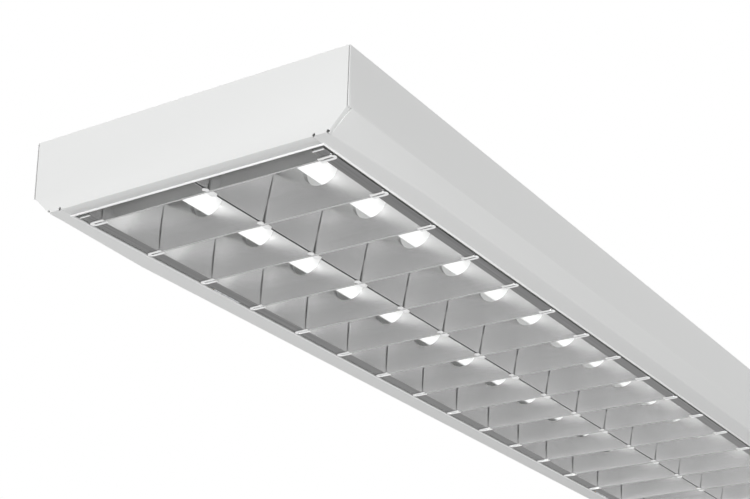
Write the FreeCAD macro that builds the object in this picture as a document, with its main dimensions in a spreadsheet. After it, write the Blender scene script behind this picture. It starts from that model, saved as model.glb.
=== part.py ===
import FreeCAD, Part
import math
import os
import re
import Sketcher

# Surface-mounted twin-lamp louvre luminaire, in millimetres.
# X runs across the body, Y along the tubes and Z up. The origin is the middle of the
# face that lies against the ceiling, so the whole luminaire hangs below Z = 0.

SIZES = {
    # Folded steel housing
    "body_length": 1230.0,
    "body_width": 304.0,
    "body_height": 67.0,
    "tray_sheet": 0.8,
    "side_lean": 1.2,
    "lower_bend_height": 16.4,
    "corner_half_mid": 140.8,
    "corner_half_end": 133.2,
    "draw_in_length": 125.0,
    "corner_inner_set": 0.45,
    "bend_inner_rise": 0.25,
    "opening_width": 239.6,
    # End plates
    "end_lip": 15.0,
    "end_lip_return": 3.0,
    "seam_gap": 0.7,
    "lip_seam": 0.15,
    "chamfer_flange": 4.5,
    "side_flange": 12.0,
    "corner_tab_depth": 2.0,
    "relief_diameter": 2.6,
    "relief_rise": 1.0,
    "relief_offset": 1.5,
    "top_tab_centre": 110.0,
    "top_tab_width": 30.0,
    "top_tab_depth": 14.0,
    "rivet_diameter": 3.2,
    "rivet_head_diameter": 6.4,
    "rivet_head_height": 1.0,
    "rivet_inset": 8.0,
    # Ceiling fixing and cable entry
    "fixing_spacing_across": 190.0,
    "fixing_spacing_along": 800.0,
    "fixing_slot_width": 6.0,
    "fixing_slot_length": 14.0,
    "cable_hole_diameter": 22.0,
    "cable_hole_along": 150.0,
    "grommet_bore": 12.0,
    "grommet_flange": 28.0,
    "grommet_lip": 1.6,
    "grommet_depth": 8.0,
    # Gear cover, ballast and wiring
    "cover_sheet": 0.6,
    "cover_top_half": 33.0,
    "cover_bottom_half": 25.0,
    "cover_flange": 7.0,
    "cover_depth": 23.4,
    "cover_length": 1110.0,
    "cover_screw_along": 480.0,
    "cover_screw_across": 36.5,
    "cover_screw_diameter": 3.4,
    "cover_screw_head": 6.4,
    "cover_screw_head_height": 2.2,
    "ballast_width": 30.0,
    "ballast_height": 20.0,
    "ballast_length": 330.0,
    "ballast_centre_along": -250.0,
    "ballast_edge": 2.0,
    "ballast_foot_length": 22.0,
    "ballast_screw_inset": 5.0,
    "ballast_foot_sheet": 1.0,
    "ballast_screw_diameter": 4.0,
    "ballast_screw_head": 7.6,
    "ballast_screw_head_height": 2.4,
    "gear_terminal_length": 12.0,
    "gear_terminal_width": 26.0,
    "gear_terminal_height": 11.0,
    "block_width": 34.0,
    "block_length": 20.0,
    "block_height": 14.0,
    "block_along": 100.0,
    "block_barrel_diameter": 8.0,
    "block_barrel_height": 4.0,
    "block_pole_spacing": 10.0,
    "block_screw_diameter": 4.0,
    "earth_along": 50.0,
    "earth_stud_diameter": 4.0,
    "earth_stud_length": 12.0,
    "earth_nut_flats": 7.0,
    "earth_nut_height": 3.2,
    "lead_diameter": 3.2,
    "lead_drop": 7.0,
    "lead_bend_radius": 7.0,
    "lead_at_gear": 10.6,
    "lead_beside_block": 20.0,
    "lead_turn_past_cover": 12.0,
    "lead_end_run": 14.0,
    "mains_lead_across": 6.0,
    # Tubes and their holders
    "lamp_spacing": 114.4,
    "lamp_drop": 29.0,
    "lamp_diameter": 26.0,
    "lamp_length": 1199.4,
    "glass_wall": 0.8,
    "neck_diameter": 24.2,
    "neck_taper": 4.0,
    "cap_diameter": 25.4,
    "cap_wall": 0.5,
    "cap_length": 17.0,
    "pin_spacing": 12.7,
    "pin_diameter": 2.35,
    "pin_length": 7.1,
    "holder_gap": 0.3,
    "holder_width": 26.0,
    "holder_thickness": 13.0,
    "rotor_bore": 17.0,
    "rotor_clearance": 0.08,
    "rotor_depth": 9.0,
    "rotor_set_back": 0.3,
    "pin_slot_clearance": 0.1,
    "entry_slot_width": 3.0,
    # Louvre
    "louvre_sheet": 0.5,
    "louvre_depth": 41.0,
    "louvre_end_gap": 18.8,
    "flange_outer_half": 117.4,
    "flank_bottom_half": 106.7,
    "flank_top_half": 101.2,
    "flank_radius": 260.0,
    "top_flange": 5.0,
    "centre_bottom_rise": 1.0,
    "centre_bottom_half": 1.4,
    "centre_top_half": 12.2,
    "centre_radius": 400.0,
    "blade_count": 17.0,
    "blade_end_inset": 15.4,
    "blade_bottom_half": 1.2,
    "blade_top_half": 4.5,
    "blade_drop": 1.0,
    "blade_end_gap": 0.15,
    "lap_height": 20.0,
    "lap_clearance": 0.3,
    "notch_radius": 18.0,
    "notch_flare": 2.4,
    "tongue_tip_half": 118.4,
    "tongue_root_half": 103.4,
    "tongue_width": 6.0,
    "tongue_slot_width": 1.5,
    "centre_tab_length": 8.0,
    "centre_tab_width": 3.0,
    # Louvre hinge and spring catches
    "hinge_axis_half": 118.45,
    "hinge_axis_rise": 0.2,
    "hinge_pin_diameter": 1.0,
    "hinge_clearance": 0.05,
    "hinge_barrel_diameter": 2.0,
    "hinge_barrel_length": 12.0,
    "hinge_barrel_gap": 0.4,
    "hinge_leaf_width": 10.0,
    "hinge_leaf_sheet": 0.4,
    "hinge_bay": 2.5,
    "catch_bay": 2.5,
    "catch_width": 14.0,
    "catch_sheet": 0.5,
    "catch_height": 16.0,
    "catch_tab_half": 113.0,
    "catch_tab_foot": 5.0,
    "catch_clearance": 0.5,
    "catch_foot": 12.0,
}

doc = FreeCAD.newDocument("LouvreLuminaire")
sheet = doc.addObject("Spreadsheet::Sheet", "Sizes")
for row, (alias, number) in enumerate(SIZES.items(), start=1):
    sheet.set("A%d" % row, alias)
    sheet.set("B%d" % row, repr(number))
    sheet.setAlias("B%d" % row, alias)
doc.recompute()

ALIAS_PATTERN = re.compile(r"\b(" + "|".join(sorted(SIZES, key=len, reverse=True)) + r")\b")
PLANE_SIGN = {"XY_Plane": 1, "XZ_Plane": -1, "YZ_Plane": 1}
UP = FreeCAD.Vector(0, 0, 1)
ALONG = FreeCAD.Vector(0, 1, 0)
parts = []


def bind(text):
    """Return the expression with each size read from the sheet."""
    return ALIAS_PATTERN.sub(r"Sizes.\1", text)


def value(text):
    """Return the number that an expression of the sizes gives."""
    return float(sheet.evalExpression(bind(text)))


def keep(thing, label):
    """List an object as one of the sub-parts under its name."""
    thing.Label = label
    parts.append(thing)
    return thing


def new_body(label):
    """Start a sub-part made of sketches and features."""
    return keep(doc.addObject("PartDesign::Body", label), label)


def origin_feature(body, role):
    """Find one of the body's own origin planes or axes."""
    return next(item for item in body.Origin.OriginFeatures if item.Role == role)


def new_sketch(body, role, at="0"):
    """Put an empty sketch on an origin plane, moved along that plane's world axis."""
    sketch = body.newObject("Sketcher::SketchObject", body.Name + "_sketch")
    sketch.AttachmentSupport = [(origin_feature(body, role), "")]
    sketch.MapMode = "FlatFace"
    sign = "-" if PLANE_SIGN[role] < 0 else ""
    sketch.setExpression("AttachmentOffset.Base.z", bind("%s(%s)" % (sign, at)))
    return sketch


def hold(sketch, kind, places, text):
    """Add a constraint whose number follows an expression."""
    index = sketch.addConstraint(Sketcher.Constraint(kind, *places, value(text)))
    sketch.setExpression("Constraints[%d]" % index, bind(text))


def hold_point(sketch, geometry, point, across, up):
    """Fix a point at expressions measured from the sketch origin."""
    hold(sketch, "DistanceX", (-1, 1, geometry, point), across)
    hold(sketch, "DistanceY", (-1, 1, geometry, point), up)


def arc_between(start, end, radius, side):
    """Arc from start to end, with its centre on the left (side 1) or right (side -1)."""
    chord = end - start
    middle = (start + end) * 0.5
    left = FreeCAD.Vector(-chord.y, chord.x, 0).normalize()
    centre = middle + left * side * math.sqrt(radius ** 2 - (chord.Length / 2) ** 2)
    first, last = (start, end) if side > 0 else (end, start)
    angle_first = math.atan2(first.y - centre.y, first.x - centre.x)
    angle_last = math.atan2(last.y - centre.y, last.x - centre.x)
    if angle_last < angle_first:
        angle_last += 2 * math.pi
    return Part.ArcOfCircle(Part.Circle(centre, UP, radius), angle_first, angle_last)


def outline(sketch, points):
    """Draw a closed outline.

    Each point is (across, up), or (across, up, radius, side) where an arc leads on.
    """
    spots = [FreeCAD.Vector(value(point[0]), value(point[1]), 0) for point in points]
    first = sketch.GeometryCount
    count = len(points)
    ends = []
    for index, point in enumerate(points):
        start, end = spots[index], spots[(index + 1) % count]
        if len(point) == 2:
            sketch.addGeometry(Part.LineSegment(start, end), False)
            ends.append((1, 2))
        else:
            sketch.addGeometry(arc_between(start, end, value(point[2]), point[3]), False)
            ends.append((1, 2) if point[3] > 0 else (2, 1))
    for index, point in enumerate(points):
        following = (index + 1) % count
        sketch.addConstraint(Sketcher.Constraint(
            "Coincident", first + index, ends[index][1], first + following, ends[following][0]))
        hold_point(sketch, first + index, ends[index][0], point[0], point[1])
        if len(point) == 4:
            hold(sketch, "Radius", (first + index,), point[2])


def box_outline(sketch, left, right, low, high):
    """Draw a closed rectangle."""
    outline(sketch, [(left, low), (right, low), (right, high), (left, high)])


def circle(sketch, across, up, diameter):
    """Draw a circle."""
    spot = FreeCAD.Vector(value(across), value(up), 0)
    index = sketch.addGeometry(Part.Circle(spot, UP, value(diameter) / 2), False)
    hold_point(sketch, index, 3, across, up)
    hold(sketch, "Diameter", (index,), diameter)


def feature(body, kind, sketch, length, reverse, symmetric):
    """Add a pad or a pocket of a sketch."""
    item = body.newObject("PartDesign::" + kind, body.Name + "_" + kind.lower())
    item.Profile = sketch
    item.SideType = "Symmetric" if symmetric else "One side"
    item.Reversed = reverse
    item.setExpression("Length", bind(length))
    sketch.Visibility = False
    return item


def pad(body, sketch, length, reverse=False, symmetric=False):
    """Grow the body along the sketch's normal."""
    return feature(body, "Pad", sketch, length, reverse, symmetric)


def pocket(body, sketch, length, reverse=False, symmetric=False):
    """Cut the body against the sketch's normal."""
    return feature(body, "Pocket", sketch, length, reverse, symmetric)


def revolve(body, sketch, role):
    """Turn a sketch once round an origin axis."""
    item = body.newObject("PartDesign::Revolution", body.Name + "_turned")
    item.Profile = sketch
    item.ReferenceAxis = (origin_feature(body, role), [""])
    item.Angle = 360.0
    return item


def place(thing, across="0", along="0", up="0", turned=False):
    """Tie an object's place to expressions, turned half round for the far end."""
    if turned:
        thing.Placement = FreeCAD.Placement(FreeCAD.Vector(), FreeCAD.Rotation(UP, 180))
    for axis, text in (("x", across), ("y", along), ("z", up)):
        thing.setExpression("Placement.Base." + axis, bind(text))


def cylinder(name, diameter, height, across, along, up, axis=UP):
    """Make a Part cylinder standing on a point, along Z or Y."""
    item = doc.addObject("Part::Cylinder", name)
    item.setExpression("Radius", bind("(%s) / 2" % diameter))
    item.setExpression("Height", bind(height))
    item.Placement = FreeCAD.Placement(FreeCAD.Vector(), FreeCAD.Rotation(UP, axis))
    place(item, across, along, up)
    return item


def block(name, across, along, up, width, length, height):
    """Make a Part box from its lowest corner."""
    item = doc.addObject("Part::Box", name)
    item.setExpression("Length", bind(width))
    item.setExpression("Width", bind(length))
    item.setExpression("Height", bind(height))
    place(item, across, along, up)
    return item


def join(name, pieces):
    """Fuse touching pieces, or group separate ones, into one shape."""
    item = doc.addObject("Part::MultiFuse", name)
    item.Shapes = pieces
    return item


def group(name, pieces):
    """Hold separate identical solids in one compound."""
    item = doc.addObject("Part::Compound", name)
    item.Links = pieces
    return item


def cut(name, base, tool):
    """Cut one object by another."""
    item = doc.addObject("Part::Cut", name)
    item.Base = base
    item.Tool = tool
    return item


# ---------------------------------------------------------------- housing

FLOOR = "-body_height"
BEND = "-body_height + lower_bend_height"
UNDER_TOP = "-tray_sheet"
END = "body_length / 2"


def tray_section(body, corner, at):
    """Draw the folded section of the tray: top, sides, slanted lower panels and lips."""
    half = [
        ("body_width / 2", "0"),
        ("body_width / 2 - side_lean", BEND),
        (corner, FLOOR),
        ("opening_width / 2", FLOOR),
        ("opening_width / 2", FLOOR + " + tray_sheet"),
        (corner + " - corner_inner_set", FLOOR + " + tray_sheet"),
        ("body_width / 2 - side_lean - tray_sheet", BEND + " + bend_inner_rise"),
        ("body_width / 2 - tray_sheet", UNDER_TOP),
    ]
    mirrored = [("-(%s)" % across, up) for across, up in reversed(half)]
    sketch = new_sketch(body, "XZ_Plane", at)
    outline(sketch, half + mirrored)
    return sketch


def loft(body, first, last):
    """Join two sections with straight rulings."""
    item = body.newObject("PartDesign::AdditiveLoft", body.Name + "_loft")
    item.Profile = first
    item.Sections = [last]
    item.Ruled = True
    return item


def slot_outline(sketch, across, along, width, length):
    """Draw a round-ended slot that runs across."""
    reach = "(%s - %s) / 2" % (length, width)
    radius = width + " / 2"
    left, right = "%s - %s" % (across, reach), "%s + %s" % (across, reach)
    low, high = "%s - %s" % (along, radius), "%s + %s" % (along, radius)
    outline(sketch, [
        (left, low), (right, low, radius, 1), (right + " + " + radius, along, radius, 1),
        (right, high), (left, high, radius, 1), (left + " - " + radius, along, radius, 1),
    ])


def ballast_screw_along(side):
    """Return the expression for the place of the ballast's screw at one end."""
    reach = "ballast_length / 2 + ballast_foot_length - ballast_screw_inset"
    return "ballast_centre_along + %d * (%s)" % (side, reach)


def housing_tray():
    """One folded sheet: its lower corners draw in towards the end plates."""
    body = new_body("housing_tray")
    middle = tray_section(body, "corner_half_mid", "0")
    pad(body, middle, "body_length - 2 * draw_in_length", symmetric=True)
    for side in ("-", ""):
        inner = tray_section(body, "corner_half_mid", "%s(%s - draw_in_length)" % (side, END))
        outer = tray_section(body, "corner_half_end", "%s(%s)" % (side, END))
        loft(body, inner, outer)
    trims = new_sketch(body, "XY_Plane", BEND)
    step = "corner_half_end - tray_sheet - lip_seam"
    for across in (1, -1):
        for along in (1, -1):
            outline(trims, [
                ("%d * (body_width / 2 + 1)" % across, "%d * (%s + 1)" % (along, END)),
                ("%d * (body_width / 2 + 1)" % across, "%d * (%s - chamfer_flange)" % (along, END)),
                ("%d * (%s)" % (across, step), "%d * (%s - chamfer_flange)" % (along, END)),
                ("%d * (%s)" % (across, step), "%d * (%s - corner_tab_depth)" % (along, END)),
                ("%d * (opening_width / 2 - 1)" % across, "%d * (%s - corner_tab_depth)" % (along, END)),
                ("%d * (opening_width / 2 - 1)" % across, "%d * (%s + 1)" % (along, END)),
            ])
    pocket(body, trims, "lower_bend_height + 1")
    holes = new_sketch(body, "XY_Plane", "1")
    for across in (1, -1):
        for along in (1, -1):
            slot_outline(holes, "%d * fixing_spacing_across / 2" % across,
                         "%d * fixing_spacing_along / 2" % along,
                         "fixing_slot_width", "fixing_slot_length")
            circle(holes, "%d * top_tab_centre" % across, "%d * (%s - rivet_inset)" % (along, END),
                   "rivet_diameter")
            circle(holes, "%d * cover_screw_across" % across, "%d * cover_screw_along" % along,
                   "cover_screw_diameter")
    circle(holes, "0", "cable_hole_along", "cable_hole_diameter")
    for along in (1, -1):
        circle(holes, "0", ballast_screw_along(along), "ballast_screw_diameter")
    circle(holes, "0", "earth_along", "earth_stud_diameter")
    pocket(body, holes, "tray_sheet + 2")


def end_plate(label, turned):
    """End plate with its chamfered corners, folded flanges and the lip under the louvre."""
    body = new_body(label)
    edge_top = "body_width / 2 - tray_sheet - seam_gap"
    edge_bend = "body_width / 2 - side_lean - tray_sheet - seam_gap"
    near = "-(%s)" % END
    face = new_sketch(body, "XZ_Plane", near)
    outline(face, [
        (edge_top, UNDER_TOP), (edge_bend, BEND), ("corner_half_end", FLOOR),
        ("-corner_half_end", FLOOR), ("-(%s)" % edge_bend, BEND), ("-(%s)" % edge_top, UNDER_TOP),
    ])
    pad(body, face, "tray_sheet", reverse=True)
    chamfers = new_sketch(body, "XZ_Plane", near)
    sides = new_sketch(body, "XZ_Plane", near)
    tabs = new_sketch(body, "XZ_Plane", near)
    for side in ("", "-"):
        outline(chamfers, [
            ("%s(%s)" % (side, edge_bend), BEND),
            ("%s(corner_half_end)" % side, FLOOR),
            ("%s(corner_half_end - tray_sheet)" % side, FLOOR + " + bend_inner_rise"),
            ("%s(%s - tray_sheet)" % (side, edge_bend), BEND + " + bend_inner_rise"),
        ])
        outline(sides, [
            ("%s(%s)" % (side, edge_top), UNDER_TOP + " - tray_sheet"),
            ("%s(%s)" % (side, edge_bend), BEND),
            ("%s(%s - tray_sheet)" % (side, edge_bend), BEND),
            ("%s(%s - tray_sheet)" % (side, edge_top), UNDER_TOP + " - tray_sheet"),
        ])
        outline(tabs, [
            ("%s(top_tab_centre - top_tab_width / 2)" % side, UNDER_TOP),
            ("%s(top_tab_centre + top_tab_width / 2)" % side, UNDER_TOP),
            ("%s(top_tab_centre + top_tab_width / 2)" % side, UNDER_TOP + " - tray_sheet"),
            ("%s(top_tab_centre - top_tab_width / 2)" % side, UNDER_TOP + " - tray_sheet"),
        ])
    pad(body, chamfers, "chamfer_flange", reverse=True)
    pad(body, sides, "side_flange", reverse=True)
    pad(body, tabs, "top_tab_depth", reverse=True)
    lip = new_sketch(body, "YZ_Plane", "0")
    outline(lip, [
        (near, FLOOR),
        (near + " + end_lip", FLOOR),
        (near + " + end_lip", FLOOR + " + end_lip_return"),
        (near + " + end_lip - tray_sheet", FLOOR + " + end_lip_return"),
        (near + " + end_lip - tray_sheet", FLOOR + " + tray_sheet"),
        (near, FLOOR + " + tray_sheet"),
    ])
    pad(body, lip, "opening_width - 2 * lip_seam", symmetric=True)
    corner_tabs = new_sketch(body, "XY_Plane", FLOOR)
    for side in ("", "-"):
        box_outline(corner_tabs, "%s(opening_width / 2 + 2 * relief_offset)" % side,
                    "%s(corner_half_end)" % side, near, near + " + corner_tab_depth")
    pad(body, corner_tabs, "tray_sheet")
    reliefs = new_sketch(body, "XZ_Plane", near + " - 1")
    for side in ("", "-"):
        circle(reliefs, "%s(opening_width / 2 + relief_offset)" % side, FLOOR + " + relief_rise",
               "relief_diameter")
        circle(reliefs, "%s(corner_half_end)" % side, FLOOR + " + relief_rise", "relief_diameter")
    pocket(body, reliefs, "corner_tab_depth + 1.2")
    rivets = new_sketch(body, "XY_Plane", "0")
    for side in ("", "-"):
        circle(rivets, "%s(top_tab_centre)" % side, near + " + rivet_inset", "rivet_diameter")
    pocket(body, rivets, "3 * tray_sheet")
    place(body, turned=turned)


def end_plate_rivets():
    """Four rivets hold the end plates' tabs under the tray's top."""
    rivets = []
    for across in (1, -1):
        for along in (1, -1):
            x_place = "%d * top_tab_centre" % across
            y_place = "%d * (%s - rivet_inset)" % (along, END)
            shank = cylinder("shank", "rivet_diameter", "2 * tray_sheet", x_place, y_place,
                             "-2 * tray_sheet")
            head = cylinder("head", "rivet_head_diameter", "rivet_head_height", x_place, y_place,
                            "-2 * tray_sheet - rivet_head_height")
            rivets.append(join("rivet", [shank, head]))
    keep(group("end_plate_rivets", rivets), "end_plate_rivets")


# ---------------------------------------------------------------- gear

def gear_cover():
    """White folded cover over the ballast and the wiring, between the two tubes."""
    body = new_body("gear_cover")
    deep = "-tray_sheet - cover_depth"
    half = [
        ("cover_top_half + cover_flange", UNDER_TOP),
        ("cover_top_half + cover_flange", UNDER_TOP + " - cover_sheet"),
        ("cover_top_half", UNDER_TOP + " - cover_sheet"),
        ("cover_bottom_half", deep),
    ]
    inner = [
        ("cover_bottom_half - cover_sheet", deep + " + cover_sheet"),
        ("cover_top_half - cover_sheet", UNDER_TOP),
    ]
    mirrored = [("-(%s)" % across, up) for across, up in reversed(half)]
    inner_mirrored = [("-(%s)" % across, up) for across, up in reversed(inner)]
    section = new_sketch(body, "XZ_Plane", "0")
    outline(section, half + mirrored + inner_mirrored + inner)
    pad(body, section, "cover_length", symmetric=True)
    holes = new_sketch(body, "XY_Plane", "0")
    for across in (1, -1):
        for along in (1, -1):
            circle(holes, "%d * cover_screw_across" % across, "%d * cover_screw_along" % along,
                   "cover_screw_diameter")
    pocket(body, holes, "tray_sheet + cover_sheet + 1")


def slotted_screw(diameter, head, head_height, length, across, along, seat):
    """Pan-head screw that points up, with its head under the seat and a driver slot."""
    shank = cylinder("shank", diameter, length, across, along, seat)
    top = cylinder("head", head, head_height, across, along, "%s - %s" % (seat, head_height))
    slot = block("slot", "%s - %s / 2" % (across, head), "%s - %s / 10" % (along, head),
                 "%s - %s" % (seat, head_height), head, head + " / 5", head_height + " / 2")
    return cut("screw", join("screw_blank", [shank, top]), slot)


def gear_screws():
    """Screws of the gear cover and of the ballast."""
    cover = []
    for across in (1, -1):
        for along in (1, -1):
            cover.append(slotted_screw(
                "cover_screw_diameter", "cover_screw_head", "cover_screw_head_height",
                "tray_sheet + cover_sheet", "%d * cover_screw_across" % across,
                "%d * cover_screw_along" % along, "-tray_sheet - cover_sheet"))
    keep(group("gear_cover_screws", cover), "gear_cover_screws")
    feet = []
    for along in (1, -1):
        feet.append(slotted_screw(
            "ballast_screw_diameter", "ballast_screw_head", "ballast_screw_head_height",
            "tray_sheet + ballast_foot_sheet", "0", ballast_screw_along(along),
            "-tray_sheet - ballast_foot_sheet"))
    keep(group("ballast_screws", feet), "ballast_screws")


def ballast():
    """Electronic control gear: case, feet and push-in terminals at its two ends."""
    body = new_body("ballast_case")
    section = new_sketch(body, "XZ_Plane", "ballast_centre_along")
    low = UNDER_TOP + " - ballast_height"
    outline(section, [
        ("ballast_width / 2", UNDER_TOP),
        ("ballast_width / 2", low + " + ballast_edge"),
        ("ballast_width / 2 - ballast_edge", low),
        ("-(ballast_width / 2 - ballast_edge)", low),
        ("-ballast_width / 2", low + " + ballast_edge"),
        ("-ballast_width / 2", UNDER_TOP),
    ])
    pad(body, section, "ballast_length", symmetric=True)
    feet = new_sketch(body, "XY_Plane", UNDER_TOP + " - ballast_foot_sheet")
    box_outline(feet, "-ballast_width / 2", "ballast_width / 2",
                "ballast_centre_along - ballast_length / 2 - ballast_foot_length",
                "ballast_centre_along + ballast_length / 2 + ballast_foot_length")
    pad(body, feet, "ballast_foot_sheet")
    holes = new_sketch(body, "XY_Plane", "0")
    for along in (1, -1):
        circle(holes, "0", ballast_screw_along(along), "ballast_screw_diameter")
    pocket(body, holes, "tray_sheet + ballast_foot_sheet + 1")
    blocks = []
    for along in (1, -1):
        start = "ballast_centre_along + %d * ballast_length / 2" % along
        if along < 0:
            start += " - gear_terminal_length"
        rise = UNDER_TOP + " - ballast_foot_sheet - gear_terminal_height"
        shell = block("terminal", "-gear_terminal_width / 2", start, rise,
                      "gear_terminal_width", "gear_terminal_length", "gear_terminal_height")
        entries = []
        for place_number in range(4):
            entries.append(cylinder(
                "entry", "lead_diameter / 2", "gear_terminal_height / 2",
                "gear_terminal_width * (%d - 1.5) / 5" % place_number,
                start + " + gear_terminal_length / 2", rise))
        blocks.append(cut("terminal_cut", shell, join("entries", entries)))
    keep(group("ballast_terminals", blocks), "ballast_terminals")


def terminal_block():
    """Three-pole mains terminal block beside the cable entry, with its clamp screws."""
    body = new_body("terminal_block")
    base = new_sketch(body, "XY_Plane", UNDER_TOP + " - block_height + block_barrel_height")
    box_outline(base, "-block_width / 2", "block_width / 2",
                "block_along - block_length / 2", "block_along + block_length / 2")
    pad(body, base, "block_height - block_barrel_height")
    barrels = new_sketch(body, "XY_Plane", UNDER_TOP + " - block_height")
    bores = new_sketch(body, "XY_Plane", UNDER_TOP + " - block_height")
    for pole in (-1, 0, 1):
        circle(barrels, "%d * block_pole_spacing" % pole, "block_along", "block_barrel_diameter")
        circle(bores, "%d * block_pole_spacing" % pole, "block_along", "block_screw_diameter")
    pad(body, barrels, "block_barrel_height")
    pocket(body, bores, "block_barrel_height", reverse=True)
    screws = []
    for pole in (-1, 0, 1):
        shank = cylinder("clamp", "block_screw_diameter", "block_barrel_height - 1",
                         "%d * block_pole_spacing" % pole, "block_along",
                         UNDER_TOP + " - block_height + 1")
        slot = block("slot", "%d * block_pole_spacing - block_screw_diameter / 2" % pole,
                     "block_along - block_screw_diameter / 10", UNDER_TOP + " - block_height + 1",
                     "block_screw_diameter", "block_screw_diameter / 5", "block_barrel_height / 4")
        screws.append(cut("clamp_screw", shank, slot))
    keep(group("terminal_screws", screws), "terminal_screws")


def earth_stud():
    """Earth stud welded in the tray, with its hexagon nut."""
    stud = cylinder("earth_stud", "earth_stud_diameter", "earth_stud_length + tray_sheet",
                    "0", "earth_along", "-tray_sheet - earth_stud_length")
    keep(stud, "earth_stud")
    body = new_body("earth_nut")
    flats = new_sketch(body, "XY_Plane", UNDER_TOP)
    corner = "earth_nut_flats / 1.7320508"
    points = []
    for index in range(6):
        angle = 60 * index
        points.append(("%s * cos(%d deg)" % (corner, angle),
                       "earth_along + %s * sin(%d deg)" % (corner, angle)))
    outline(flats, points)
    pad(body, flats, "earth_nut_height", reverse=True)
    bore = new_sketch(body, "XY_Plane", UNDER_TOP)
    circle(bore, "0", "earth_along", "earth_stud_diameter")
    pocket(body, bore, "earth_nut_height")


def cable_grommet():
    """Rubber grommet in the cable entry: a groove holds the edge of the sheet."""
    body = new_body("cable_grommet")
    ring = new_sketch(body, "YZ_Plane", "0")
    outline(ring, [
        ("grommet_bore / 2", "0"),
        ("cable_hole_diameter / 2", "0"),
        ("cable_hole_diameter / 2", UNDER_TOP),
        ("grommet_flange / 2", UNDER_TOP),
        ("grommet_flange / 2", UNDER_TOP + " - grommet_lip"),
        ("cable_hole_diameter / 2", UNDER_TOP + " - grommet_lip"),
        ("grommet_bore / 2 + grommet_lip", "-grommet_depth"),
        ("grommet_bore / 2", "-grommet_depth"),
    ])
    revolve(body, ring, "Z_Axis")
    place(body, along="cable_hole_along")


def rounded_route(points, radius):
    """Wire of straight runs through the points, joined by tangent arcs."""
    edges = []
    start = points[0]
    for index in range(1, len(points) - 1):
        corner = points[index]
        before = (points[index - 1] - corner).normalize()
        after = (points[index + 1] - corner).normalize()
        half_angle = before.getAngle(after) / 2
        reach = radius / math.tan(half_angle)
        entry = corner + before * reach
        leave = corner + after * reach
        bisector = (before + after).normalize()
        middle = corner + bisector * (radius / math.sin(half_angle) - radius)
        edges.append(Part.LineSegment(start, entry).toShape())
        edges.append(Part.Arc(entry, middle, leave).toShape())
        start = leave
    edges.append(Part.LineSegment(start, points[-1]).toShape())
    return Part.Wire(edges)


def lead(points, radius):
    """Round insulated lead along a route."""
    route = rounded_route(points, radius)
    direction = (points[1] - points[0]).normalize()
    ring = Part.Wire(Part.Circle(points[0], direction, value("lead_diameter") / 2).toShape())
    return route.makePipeShell([ring], True, False)


def leads():
    """Leads from the ballast to the holders, from the mains block to it, and to earth."""
    drop = -value("lead_drop")
    holder_side = value("lamp_spacing / 2 - holder_width / 2")
    holder_along = value("lamp_length / 2 + holder_gap + holder_thickness / 2")
    turn_along = value("cover_length / 2 + lead_turn_past_cover")
    end_run = value("lead_end_run")
    radius = value("lead_bend_radius")
    at_gear = value("lead_at_gear")
    beside_block = value("lead_beside_block")
    centre = value("ballast_centre_along")
    gear_half = value("ballast_length / 2 + gear_terminal_length")
    for label, sign in (("leads_near", -1), ("leads_far", 1)):
        solids = []
        for side in (-1, 1):
            begin = centre + sign * gear_half
            points = [
                FreeCAD.Vector(side * at_gear, begin, drop),
                FreeCAD.Vector(side * at_gear, begin + sign * 2 * end_run, drop),
                FreeCAD.Vector(side * beside_block, begin + sign * 4 * end_run, drop),
                FreeCAD.Vector(side * beside_block, sign * turn_along, drop),
                FreeCAD.Vector(side * (holder_side - end_run), sign * holder_along, drop),
                FreeCAD.Vector(side * holder_side, sign * holder_along, drop),
            ]
            solids.append(lead(points, radius))
        item = doc.addObject("Part::Feature", label)
        item.Shape = Part.makeCompound(solids)
        keep(item, label)
    gear_face = "ballast_centre_along + ballast_length / 2 + gear_terminal_length"
    block_face = "block_along - block_length / 2"
    mains = []
    for side in (-1, 1):
        mains.append(cylinder("mains_lead", "lead_diameter", "%s - (%s)" % (block_face, gear_face),
                              "%d * mains_lead_across" % side, gear_face, "-lead_drop", ALONG))
    keep(group("mains_leads", mains), "mains_leads")
    stud_face = "earth_along + earth_stud_diameter / 2"
    keep(cylinder("earth_lead", "lead_diameter", "%s - (%s)" % (block_face, stud_face), "0",
                  stud_face, "-lead_drop", ALONG), "earth_lead")


def lampholder(label, across, along, turned):
    """Rotary holder: body with a rotor bore and the slot that the pins enter by."""
    body = new_body(label)
    axis = "-lamp_drop"
    shell = new_sketch(body, "XZ_Plane", "0")
    half = "holder_width / 2"
    outline(shell, [
        (half, UNDER_TOP), ("-" + half, UNDER_TOP), ("-" + half, axis, half, 1),
        ("0", axis + " - " + half, half, 1), (half, axis),
    ])
    pad(body, shell, "holder_thickness")
    bore = new_sketch(body, "XZ_Plane", "0")
    circle(bore, "0", axis, "rotor_bore")
    pocket(body, bore, "rotor_depth", reverse=True)
    entry = new_sketch(body, "XZ_Plane", "0")
    box_outline(entry, "-entry_slot_width / 2", "entry_slot_width / 2",
                axis + " - holder_width / 2 - 1", axis)
    pocket(body, entry, "rotor_depth", reverse=True)
    place(body, across, along, turned=turned)


def rotor(label, across, along, turned):
    """White rotor that turns with the tube's pins in the holder."""
    body = new_body(label)
    disc = new_sketch(body, "XZ_Plane", "-rotor_set_back")
    circle(disc, "0", "-lamp_drop", "rotor_bore - 2 * rotor_clearance")
    pad(body, disc, "rotor_depth - 2 * rotor_set_back")
    slot = new_sketch(body, "XZ_Plane", "0")
    box_outline(slot, "-rotor_bore", "rotor_bore",
                "-lamp_drop - pin_diameter / 2 - pin_slot_clearance",
                "-lamp_drop + pin_diameter / 2 + pin_slot_clearance")
    pocket(body, slot, "pin_length + 2 * rotor_set_back", reverse=True)
    place(body, across, along, turned=turned)


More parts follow.
